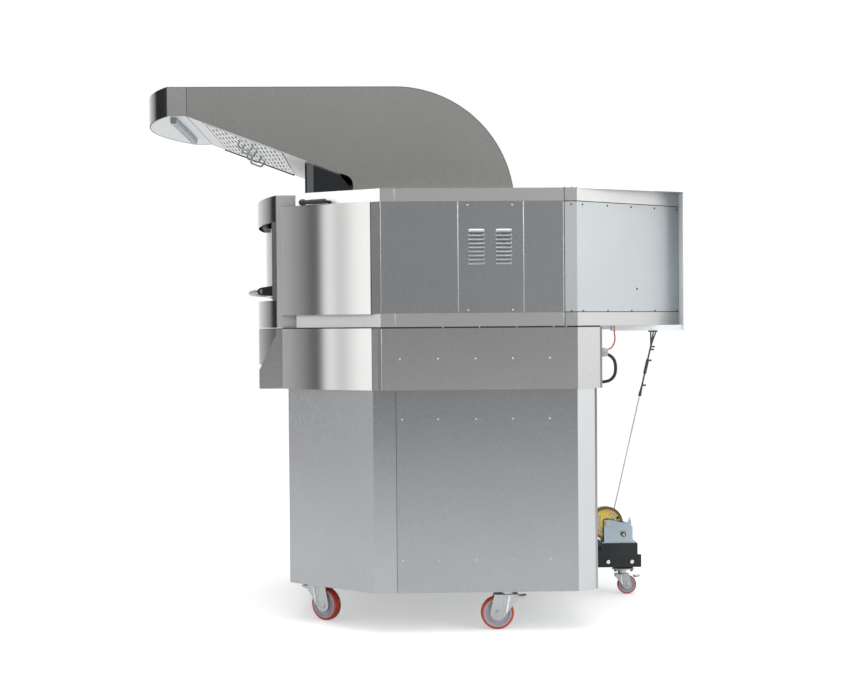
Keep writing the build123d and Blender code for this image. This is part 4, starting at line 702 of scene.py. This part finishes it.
make_piece("filter_frames", on_slope(frames), "filter_lit_steel", "oven", 30, ["hood_filters"], "brushed_steel")
make_piece("filter_slats", on_slope(slats), "filter_lit_steel", "oven", 30)
dark_edge = [block((-166.0, 423.0, -7.5), (166.0, 430.0, 1.0), 0.8)]
dark_edge.append(block((-166.5, -394.0, -2.4), (-163.5, 394.0, 0.6), 0.4))
make_piece("filter_edge_shade", on_slope(dark_edge), "black_and_painted_shade", "oven", 30)
make_piece("filter_slot_shade", on_slope(slot_shade), "black_and_painted_shade", "oven", 30)
make_piece("filter_grips", on_slope(grips), "handle_steel", "oven", 60)

# Front face of the flue, a paler copy of its steel as painted light; the flue's sides are a darkened copy as
# painted shade
flue_face = [block((-404.6, -352.0, 1649.0), (-403.8, 352.0, 1786.0), 0.2)]
make_piece("flue_front_face", flue_face, "flue_lit_steel", "oven", 30)

# Lamp under the hood's nose
lamp = [block((-922.0, -388.0, 1941.0), (-901.5, 255.0, 1961.8), 2.0)]
make_piece("lamp_cover", lamp, "lamp_plastic", "oven", 30, ["hood_lamp"], "lamp_cover")
lamp_cap = [block((-924.0, -403.0, 1938.0), (-901.0, -387.0, 1961.8), 2.0)]
make_piece("lamp_end_cap", lamp_cap, "lamp_end", "oven", 30)
rim = [tube([(-921.5, y, 1942.0) for y in (-386.0, -100.0, 254.0)], 3.8, 12)]
make_piece("lamp_edge", rim, "lamp_edge", "oven", 50)


# Pressed louvres, in a lighter copy of the panel steel as painted highlight
LOUVRES, LOUVRE_PITCH, LOUVRE_MIDDLE = 9, 15.0, 1432.5


def louvre(x, z):
    """A pressed louvre: a slope out to a lip, wider at the lip, faded to the panel at both ends."""
    u = np.linspace(-1, 1, 25)[:, None]
    v = np.linspace(0, 1, 8)[None, :]
    fade = np.clip((1 - np.abs(u)) / 0.16, 0, 1) ** 0.7
    depth = 5.8 * (v**0.85) * fade
    half = 22.5 + 7.5 * v
    outer = np.stack([x + half * u, -748.9 - depth, (z + 4.8 - 9.6 * v) * np.ones_like(u)], 2)
    lip = outer[:, -1:] + np.array([0, 0.9, -0.5])
    back = np.stack([outer[:, :, 0], np.minimum(outer[:, :, 1] + 1.1, -748.5), outer[:, :, 2] - 0.5], 2)
    return np.concatenate([outer, lip, back[:, ::-1]], 1), False, False


louvres = []
for x in (244.0, 345.0):
    for row in range(LOUVRES):
        louvres.append(louvre(x, LOUVRE_MIDDLE + (row - LOUVRES // 2) * LOUVRE_PITCH))
make_piece("louvre_hoods", mirrored(louvres), "louvre_highlight_steel", "oven", 50)


# Castors: their outlines are drawn for the main ones, which have this radius, and scaled for the winch's own
CASTOR_RADIUS = 62.5
FORK_OUTLINE = [
    (-12, 71), (-15, 60), (-27, 8), (-27.5, -8), (-20, -20), (-8, -26.5),
    (6, -27), (18, -22), (27, -12), (62, 36), (76, 52), (78, 71),
]
# Pressed ribs of a leg: three points, height over the leg, and radius
FORK_RIBS = [(((24.5, 69), (23, 20), (22, -8)), 2.6, 3.2), (((42, 69), (40, 40), (31, 4)), 2.2, 4.2)]
# Painted highlights along the ribs' edges: top, bottom and radius
RIB_HIGHLIGHTS = [((24.5, 66), (22, -10), 2.4), ((44, 66), (33, 2), 4.6)]
PEDAL_OUTLINE = [
    (-4, -4.5), (4, -5.5), (16, -6.0), (30, -2.4), (37.5, -0.5), (38, 3.0),
    (36, 5.8), (26, 4.2), (14, 2.8), (4, 5.5), (-4, 4.5),
]
# Thickness of a leg, and its distance from the wheel
LEG, LEG_GAP = 3.0, 3.0


def castor_fork(radius, width, trail, top):
    """Two ribbed legs with their hubs under a ball race head, and an axle through them."""
    k = radius / CASTOR_RADIUS
    inner, crown, head = width / 2 + LEG_GAP, 2.1 * radius, top - 4.3
    wide = inner + LEG
    surfaces = []
    for hand in (-1, 1):
        y = inner if hand > 0 else -wide
        outline = np.array(FORK_OUTLINE, float) * k
        surfaces.append(plate(outline, -LEG, (-trail, y, radius), ALONG_X, ALONG_Z))
        for points, proud, thick in FORK_RIBS:
            path = [(x * k - trail, hand * (inner + proud), z * k + radius) for x, z in points]
            surfaces.append(tube(path, thick * k, 12, ALONG_Y))
        boss = [(0, 0), (0, 15 * k), (1.2, 14.2 * k), (1.6, 10.5 * k)]
        boss += [(5.2 * k, 10.0 * k), (5.8 * k, 8.5 * k), (5.8 * k, 0)]
        surfaces.append(turned(boss, (-trail, hand * (inner + 2.8), radius), (0, hand, 0), 24))
    surfaces.append(block((-12 * k - trail, -wide, crown), (78 * k - trail, wide, crown + 3.0), 1.0))
    race = [(crown + 2.6, 0), (crown + 2.6, 23 * k), (crown + 4.0, 26 * k), (crown + 7.0, 27 * k)]
    race += [(head - 1.5, 28 * k), (head, 27 * k), (head, 0)]
    surfaces.append(turned(race, (0, 0, 0), ALONG_Z, 40))
    axle = knob(2 * wide + 2.0, 5.0 * k + 1.0, 0.8)
    surfaces.append(turned(axle, (-trail, -wide - 1.0, radius), ALONG_Y, 20))
    return surfaces


def castor_wheel(radius, width, trail):
    """A moulded core with a hollow web, and a rounded tread round it."""
    k = radius / CASTOR_RADIUS
    w = width / 2
    half = [(-w, 7.2 * k + 0.2), (-w, 20 * k), (-w + 1.5, 22 * k), (-0.55 * w, 24 * k)]
    half += [(-0.5 * w, 40 * k), (-0.62 * w, 44 * k), (-w + 2.0, 47 * k), (-w + 1.2, 53.5 * k)]
    core = half + [(-x, r) for x, r in reversed(half)] + half[:1]
    rise = 5.2 * k
    crown = []
    for t in np.linspace(-1, 1, 13):
        angle = t * math.pi / 2
        crown.append((w * 0.98 * math.sin(angle), (radius - rise) + rise * abs(math.cos(angle)) ** 0.55))
    tread = [(-w + 1.0, 52.8 * k)] + crown + [(w - 1.0, 52.8 * k), (-w + 1.0, 52.8 * k)]
    centre = (-trail, 0, radius)
    return [turned(core, centre, ALONG_Y, 56)], [turned(tread, centre, ALONG_Y, 72)]


def castor_pedal(radius, width, trail, side):
    """A pressed brake pedal with a raised toe, hung on its pin between the legs."""
    k = radius / CASTOR_RADIUS
    inner = width / 2 + 2.0
    pin_x = 0.56 * radius if side > 0 else -trail - 0.8 * radius
    pin_z = 2.1 * radius - 9.0
    outline = np.array(PEDAL_OUTLINE, float) * np.array([side * k, k])
    if side < 0:
        outline = outline[::-1]
    surfaces = [plate(outline, -2 * inner, (pin_x, -inner, pin_z), ALONG_X, ALONG_Z)]
    surfaces.append(turned(knob(2 * inner, 6.0 * k + 0.5, 0.8), (pin_x, -inner, pin_z), ALONG_Y, 20))
    return surfaces


def fork_trim(radius, width, trail):
    """Painted highlights on the edges of a fork's ribs, and rings of painted shade round its hubs."""
    k = radius / CASTOR_RADIUS
    ribs, hub_shade_rings = [], []
    for hand in (-1, 1):
        y = hand * (width / 2 + LEG_GAP + LEG)
        for (x0, z0), (x1, z1), thick in RIB_HIGHLIGHTS:
            ends = (x0 * k - trail, y, z0 * k + radius), (x1 * k - trail, y, z1 * k + radius)
            ribs.append(tube(np.linspace(*ends, 4), thick * k, 12, ALONG_Y))
        ring = [(0, 11.2 * k), (0.5, 11.2 * k), (0.5, 13.4 * k), (0, 13.4 * k), (0, 11.2 * k)]
        hub_shade_rings.append(turned(ring, (-trail, y, radius), (0, hand, 0), 28))
    return ribs, hub_shade_rings


# Wheel radius and width, trail, height of the plate, X and Y of the wheel, heading, and the pedal's side
MAIN = (CASTOR_RADIUS, 34.0, 37.5, 152.0)
CASTORS = {
    "front_right": (*MAIN, -331.0, -449.0, 142.0, 1),
    "front_left": (*MAIN, -331.0, 449.0, -142.0, 1),
    "rear_right": (*MAIN, 319.0, -655.0, 0.0, 1),
    "rear_left": (*MAIN, 319.0, 655.0, 0.0, 1),
    "winch": (40.0, 26.0, 20.0, 122.0, 922.0, 0.0, 180.0, -1),
}
for spot, (radius, width, trail, top, wheel_x, wheel_y, heading, side) in CASTORS.items():
    x = wheel_x + trail * math.cos(math.radians(heading))
    y = wheel_y + trail * math.sin(math.radians(heading))
    core, tread = castor_wheel(radius, width, trail)
    ribs, hub_shade_rings = fork_trim(radius, width, trail)
    for part, surfaces, material, body, smooth, node, slot in (
        ("fork", castor_fork(radius, width, trail, top), "zinc_plate", "swivel", 40, "fork", "zinc_plate"),
        ("wheel_core", core, "core_plastic", "wheel", 40, None, None),
        ("rib_highlights", ribs, "bright_zinc_and_highlight", "swivel", 60, None, None),
        ("hub_shade", hub_shade_rings, "edge_shade", "swivel", 40, None, None),
        ("tread", tread, "tread_rubber", "wheel", 60, "wheel", "castor_tread"),
        ("pedal", castor_pedal(radius, width, trail, side), "zinc_plate", "brake", 40, "brake", "zinc_plate"),
    ):
        replaced = [f"{spot}_castor_{node}"] if node else ()
        surfaces = placed(surfaces, heading, x, y)
        make_piece(f"{spot}_{part}", surfaces, material, f"{spot}_{body}", smooth, replaced, slot)

# Door handle, bowed like the door
NOSE_HALF, NOSE_DEPTH = 511.0, 105.0
NOSE_RADIUS = (NOSE_HALF**2 + NOSE_DEPTH**2) / (2 * NOSE_DEPTH)
BAR_TIP, DOOR_TIP = -648.0, -583.0
bar_y = np.linspace(-440, 440, 61)
bar = np.column_stack([bowed_front(bar_y, BAR_TIP, NOSE_RADIUS), bar_y, np.full(61, 1280.0)])
make_piece("handle_bar", [tube(bar, 9.0, 24)], "handle_steel", "door", 50, slot="handle_steel")
brackets = []
for side in (-1, 1):
    y = side * 426.0
    door_x = float(bowed_front(y, DOOR_TIP, NOSE_RADIUS)) + 0.2
    bar_x = float(bowed_front(y, BAR_TIP, NOSE_RADIUS))
    outline = [(door_x, 1304), (bar_x + 8, 1296), (bar_x - 4, 1293), (bar_x - 11, 1286), (bar_x - 13, 1280)]
    outline += [(bar_x - 11, 1273), (bar_x - 4, 1267), (bar_x + 8, 1265), (door_x, 1260)]
    brackets.append(plate(outline, -27.0, (0, y - 13.5, 0), ALONG_X, ALONG_Z))
make_piece("handle_brackets", brackets, "lever_plastic", "door", 50, ["door_handle"], "lever_black")

# Damper lever, whose pivot is on the fascia, 186 mm in front of the flat side
pivot = np.array([-297.0, -(750.0 - 230.0 / 377.0 * 186.0), 1609.0])
out3, along3 = np.array([*outward, 0.0]), np.array([*along, 0.0])
grip = [(0, 0), (0, 7.5), (1.5, 9.3), (6, 9.5), (60, 9.0), (84, 8.4), (90, 9.5)]
grip += [(96, 12.0), (103, 13.0), (110, 12.2), (116, 8.5), (118, 4.0), (118.5, 0)]
lever = [turned(grip, pivot + out3 * 39.0 + along3 * 6.0, -along3, 28)]
lever.append(turned(knob(36.0, 6.0, 0.8, 0.5), pivot, out3, 20))
make_piece("lever_grip", lever, "lever_plastic", "damper", 50, ["damper_lever"], "lever_black")

# Winch: drum face with its two curved slots, shaft ends and bolts
DRUM_X, DRUM_Z = 832.0, 305.0
DRUM_FACE = (DRUM_X, -37.1, DRUM_Z)
DRUM_SLOTS = [(187.0, 46.0, 38.0), (12.0, 50.0, 40.0)]


def kidney(middle, half, radius, width, y, thickness):
    """A curved slot's outline: two arcs joined by half circles, drawn round the drum's axis."""
    span = np.radians(np.linspace(middle - half, middle + half, 24))
    cap = np.linspace(0, np.pi, 7)[1:-1, None]
    circle = np.stack([np.cos(span), np.sin(span)], 1)
    outer, centre, inner = (reach * circle for reach in (radius + width / 2, radius, radius - width / 2))

    def end(angle, sign):
        spoke = np.array([math.cos(angle), math.sin(angle)])
        onward = np.array([-math.sin(angle), math.cos(angle)])
        return radius * spoke + width / 2 * sign * (np.cos(cap) * spoke + np.sin(cap) * onward)

    def level(flat, depth):
        return np.column_stack([DRUM_X + flat[:, 0], np.full(len(flat), y + depth), DRUM_Z + flat[:, 1]])

    outline = np.concatenate([outer, end(span[-1], 1), inner[::-1], end(span[0], -1)])
    spine = np.concatenate([centre, centre[[-1] * 5], centre[::-1], centre[[0] * 5]])
    layers = (spine, 0), (outline, 0), (outline, thickness), (spine, thickness)
    return np.stack([level(*layer) for layer in layers]), False, True


face = [(0, 8.4), (0, 60), (0.9, 62), (0.9, 68.5), (0, 69.8), (-0.3, 69.8), (-0.3, 8.4), (0, 8.4)]
make_piece("drum_face", [turned(face, DRUM_FACE, NEAR, 72)], "drum_zinc", "drum", 40)
rim = [(1.1, 57.5), (1.3, 62), (1.3, 68.8), (0.2, 69.9), (-0.2, 69.9), (-0.2, 57.5), (1.1, 57.5)]
make_piece("drum_rim", [turned(rim, DRUM_FACE, NEAR, 72)], "zinc_rim", "drum", 40)
edges = [kidney(middle, half + 2.0, radius, 11.0, -37.35, 0.4) for middle, half, radius in DRUM_SLOTS]
make_piece("drum_slot_edges", edges, "edge_shade", "drum", 40)
make_piece("drum_slots", [kidney(*row, 8.5, -37.5, 0.5) for row in DRUM_SLOTS], "shaft_pale", "drum", 40)
corners = [(-9, -5), (9, -5), (9, 5), (-9, 5)]
clamp = plate(corners, -2.0, (DRUM_X + 50, -37.2, DRUM_Z + 23), (0.83, 0, 0.55), (-0.55, 0, 0.83))
make_piece("rope_clamp", [clamp], "black_and_painted_shade", "drum", 30)
ends = [turned(knob(2.0, 8.6, 0.8), (DRUM_X, -55.8, DRUM_Z), NEAR, 28)]
ends.append(turned(knob(0.6, 11.0, 0.3), (DRUM_X, -52.2, DRUM_Z), NEAR, 28))
make_piece("drum_shaft_end", ends, "shaft_pale", "drum", 40)
race = [(0, 2.0), (0, 26), (5, 26), (5, 22.5), (11, 22.5), (11, 2.0), (0, 2.0)]
head = [turned(race, (902.0, 0.0, 110.0), (0, 0, -1), 40)]
head.append(block((862.0, -33.0, 106.5), (948.0, 33.0, 111.0), 1.0))
make_piece("winch_castor_plate", head, "zinc_plate", "oven", 40)
packing = [block((x, -30.0, 110.9), (x + 16.0, 30.0, 121.9), 1.0) for x in (866.0, 928.0)]
packing.append(block((882.0, -24.0, 110.9), (928.0, 24.0, 121.9), 1.0))
make_piece("winch_castor_packing", packing, "dark_paint", "oven", 30)
nuts = [turned(knob(8.0, 6.5, 1.0), (x, y, 106.6), (0, 0, -1), 6) for x in (871.0, 939.0) for y in (-24, 24)]
make_piece("winch_castor_nuts", nuts, "edge_shade", "oven", 30)
washer = [turned(knob(1.2, 10.5, 0.5), (899.75, -61.3, 260.2), NEAR, 32)]
make_piece("crank_washer", washer, "black_and_painted_shade", "crank", 40)
make_piece("crank_square", [block((894.9, -68.6, 255.3), (904.6, -62.0, 265.1), 1.0)], "brass", "crank", 30)
bolts = [turned(knob(7.5, 8.8, 2.6), (x, -59.8, 145.0), NEAR, 28) for x in (834.0, 934.0)]
make_piece("bracket_bolts", mirrored(bolts), "bright_zinc_and_highlight", "oven", 40)

# Cable gland: a round foot and a six-sided nut
GLAND_END = (716, -640, 1037)
foot = [(0, 0), (0, 18.5), (5, 18.5), (6, 17.5), (7, 17.5)]
nut = [(7, 17.5), (8, 19.0), (16, 19.0), (17.5, 17.8), (20, 17.5), (26, 15.5), (28, 13.5)]
nut += [(28, 10.5), (26.5, 9.8), (26.5, 0)]
gland = [turned(foot, GLAND_END, ALONG_X, 36), turned(nut, GLAND_END, ALONG_X, 6)]
make_piece("gland_nut", gland, "gland_plastic", "oven", 30, ["cable_gland"], "gland_grey")


# Cords
def lead(name, points, diameter, material, node):
    """A smooth cord through its route's points, which ends in the oven at both ends."""
    data = bpy.data.curves.new(name, "CURVE")
    data.dimensions = "3D"
    spline = data.splines.new("NURBS")
    spline.points.add(len(points) - 1)
    for knot, place in zip(spline.points, points):
        knot.co = (*(c * MM for c in place), 1.0)
    spline.order_u = 3
    spline.use_endpoint_u = True
    spline.resolution_u = 12
    data.bevel_depth = diameter * MM / 2
    data.bevel_resolution = 5
    data.use_fill_caps = True
    data.materials.append(materials[material])
    piece = bpy.data.objects.new(name, data)
    scene.collection.objects.link(piece)
    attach(piece, "oven")
    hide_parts(node)
    tuple(c * MM for c in points[0])


supply_route = [(719, -638, 1031), (741, -638, 1031), (762, -638, 1019), (774, -639, 998)]
supply_route += [(774, -640, 958), (762, -640, 937), (741, -639, 925), (716, -639, 925)]
lead("supply_lead", supply_route, 12.0, "cable_black", "supply_cable")
sensor_route = [(719, -644, 1046), (751, -644, 1046), (766, -644, 1063)]
sensor_route += [(773, -643, 1088), (769, -642, 1113), (769, -642, 1138)]
lead("sensor_wire", sensor_route, 5.0, "cable_red", "sensor_lead")

# Winch rope, which leaves its winding at a tangent and runs taut up to its sling
WINDING_RADIUS, SLING_Z = 25.9, 836.0
aim = np.array([1047.0, 1117.0]) - np.array([DRUM_X, DRUM_Z])
tilt = math.atan2(*aim) - math.asin(WINDING_RADIUS / np.linalg.norm(aim))
rope_low = np.array([DRUM_X + WINDING_RADIUS * math.cos(tilt), 0.0, DRUM_Z - WINDING_RADIUS * math.sin(tilt)])
rope = np.array([math.tan(tilt), 0.0, 1.0]) * (SLING_Z - rope_low[2])
rope_route = [tuple(rope_low + rope * share) for share in (0.0, 0.25, 0.5, 0.75, 1.0)]
lead("taut_rope", rope_route, 6.2, "rope_steel", "winch_rope")

# Brightness of the studio round the oven and over it, by compass angle from +X towards +Y
RING_STRENGTH = 1.4
STUDIO_RING = [
    (-180.0, 0.58), (-174.0, 0.47), (-170.0, 0.36), (-166.2, 0.27), (-163.0, 0.14),
    (-160.2, 0.04), (-159.0, 0.10), (-157.4, 0.90), (-155.0, 0.99), (-151.8, 0.64),
    (-149.8, 0.70), (-146.5, 0.98), (-142.0, 1.15), (-139.0, 1.15), (-134.5, 0.10),
    (-112.0, 0.09), (-96.0, 0.105), (-80.0, 0.16), (-55.0, 0.25), (-28.0, 0.80),
    (30.0, 0.88), (92.0, 0.78), (104.0, 0.56), (113.0, 0.46), (120.0, 0.32),
    (126.0, 0.20), (128.0, 0.015), (147.0, 0.015), (151.0, 0.40), (165.0, 0.60),
    (180.0, 0.58),
]
STUDIO_CEILING = [
    (-180.0, 0.70), (-170.0, 0.60), (-160.0, 0.70), (-156.5, 3.00), (-146.0, 3.00),
    (-134.0, 0.90), (-115.0, 0.62), (-75.0, 0.58), (-40.0, 0.70), (60.0, 0.75),
    (108.0, 0.55), (126.0, 0.05), (148.0, 0.05), (156.0, 0.60), (180.0, 0.70),
]
WHITE, MATT_GREY = (1.0, 1.0, 1.0, 1.0), (0.62, 0.62, 0.63, 1.0)
FLOOR_RADIUS, FLOOR_SIDES, FLOOR_GLOW = 9.0, 96, 0.42


def area_lamp(name, place, target, width, height, power):
    """A soft rectangular lamp aimed at a point."""
    data = bpy.data.lights.new(name, "AREA")
    data.shape = "RECTANGLE"
    data.size = width
    data.size_y = height
    data.energy = power
    lamp = bpy.data.objects.new(name, data)
    lamp.location = place
    lamp.rotation_euler = (Vector(target) - Vector(place)).to_track_quat("-Z", "Y").to_euler()
    scene.collection.objects.link(lamp)


def background(tree, colour, strength=1.0):
    """A light from all round, whose colour is a socket or plain."""
    node = tree.nodes.new("ShaderNodeBackground")
    node.inputs["Strength"].default_value = strength
    feed(tree, node.inputs["Color"], colour)
    return node.outputs["Background"]


def ring_light(tree, share, stops):
    """A light whose brightness follows the compass angle, given as a share of the full circle."""
    tones = [((degrees + 180.0) / 360.0, (level,) * 3) for degrees, level in stops]
    return background(tree, many_tones(tree, share, tones), RING_STRENGTH)


def mixed(tree, share, first, second):
    """The first shader where the share is 0, and the second where it is 1."""
    node = tree.nodes.new("ShaderNodeMixShader")
    for socket, value in zip(node.inputs, (share, first, second)):
        tree.links.new(value, socket)
    return node.outputs["Shader"]


def make_world():
    """White for the camera, an even grey for matt surfaces, and a studio ring for glossy ones."""
    scene.world = bpy.data.worlds.new("studio")
    scene.world.use_nodes = True
    tree = scene.world.node_tree
    tree.nodes.clear()
    path = tree.nodes.new("ShaderNodeLightPath")
    split = tree.nodes.new("ShaderNodeSeparateXYZ")
    tree.links.new(tree.nodes.new("ShaderNodeTexCoord").outputs["Generated"], split.inputs["Vector"])
    turn = math_node(tree, "ARCTAN2", split.outputs["Y"], split.outputs["X"])
    share = spread(tree, turn, 0.0, 1.0, -math.pi, math.pi)
    lift = spread(tree, split.outputs["Z"], 0.0, 1.0, 0.13, 0.34)
    dome = mixed(tree, lift, ring_light(tree, share, STUDIO_RING), ring_light(tree, share, STUDIO_CEILING))
    glossy = mixed(tree, path.outputs["Is Glossy Ray"], background(tree, MATT_GREY), dome)
    seen = mixed(tree, path.outputs["Is Camera Ray"], glossy, background(tree, WHITE))
    tree.links.new(seen, tree.nodes.new("ShaderNodeOutputWorld").inputs["Surface"])


def make_floor():
    """A pale round floor that shows as white and keeps the oven's soft shadow."""
    angle = np.linspace(0, 2 * np.pi, FLOOR_SIDES, endpoint=False)
    reach = np.linspace(0, FLOOR_RADIUS, 4)[1:, None]
    grid = np.stack([reach * np.cos(angle), reach * np.sin(angle), np.zeros((3, FLOOR_SIDES))], 2)
    fan = [(0, 1 + i, 1 + (i + 1) % FLOOR_SIDES) for i in range(FLOOR_SIDES)]
    quads = (grid_quads(3, FLOOR_SIDES, False, True) + 1).tolist()
    data = bpy.data.meshes.new("floor")
    data.from_pydata([(0.0, 0.0, 0.0)] + grid.reshape(-1, 3).tolist(), [], fan + quads)
    floor = bpy.data.objects.new("floor", data)
    scene.collection.objects.link(floor)
    material, tree, shader = new_material("floor_white")
    shader.inputs["Base Color"].default_value = (0.95, 0.95, 0.95, 1.0)
    shader.inputs["Roughness"].default_value = 0.9
    shader.inputs["Specular IOR Level"].default_value = 0.0
    path = tree.nodes.new("ShaderNodeLightPath")
    either = math_node(tree, "MAXIMUM", path.outputs["Is Camera Ray"], path.outputs["Is Transmission Ray"])
    tree.links.new(math_node(tree, "MULTIPLY", either, FLOOR_GLOW), shader.inputs["Emission Strength"])
    shader.inputs["Emission Color"].default_value = WHITE
    data.materials.append(material)


make_world()
area_lamp("top_softbox", (0.2, -1.0, 5.0), (0.0, 0.0, 0.5), 5.0, 5.0, 120.0)
area_lamp("right_softbox", (4.5, -4.0, 2.6), (0.3, 0.0, 1.2), 2.5, 3.0, 60.0)
scene.view_settings.view_transform = "Standard"
make_floor()
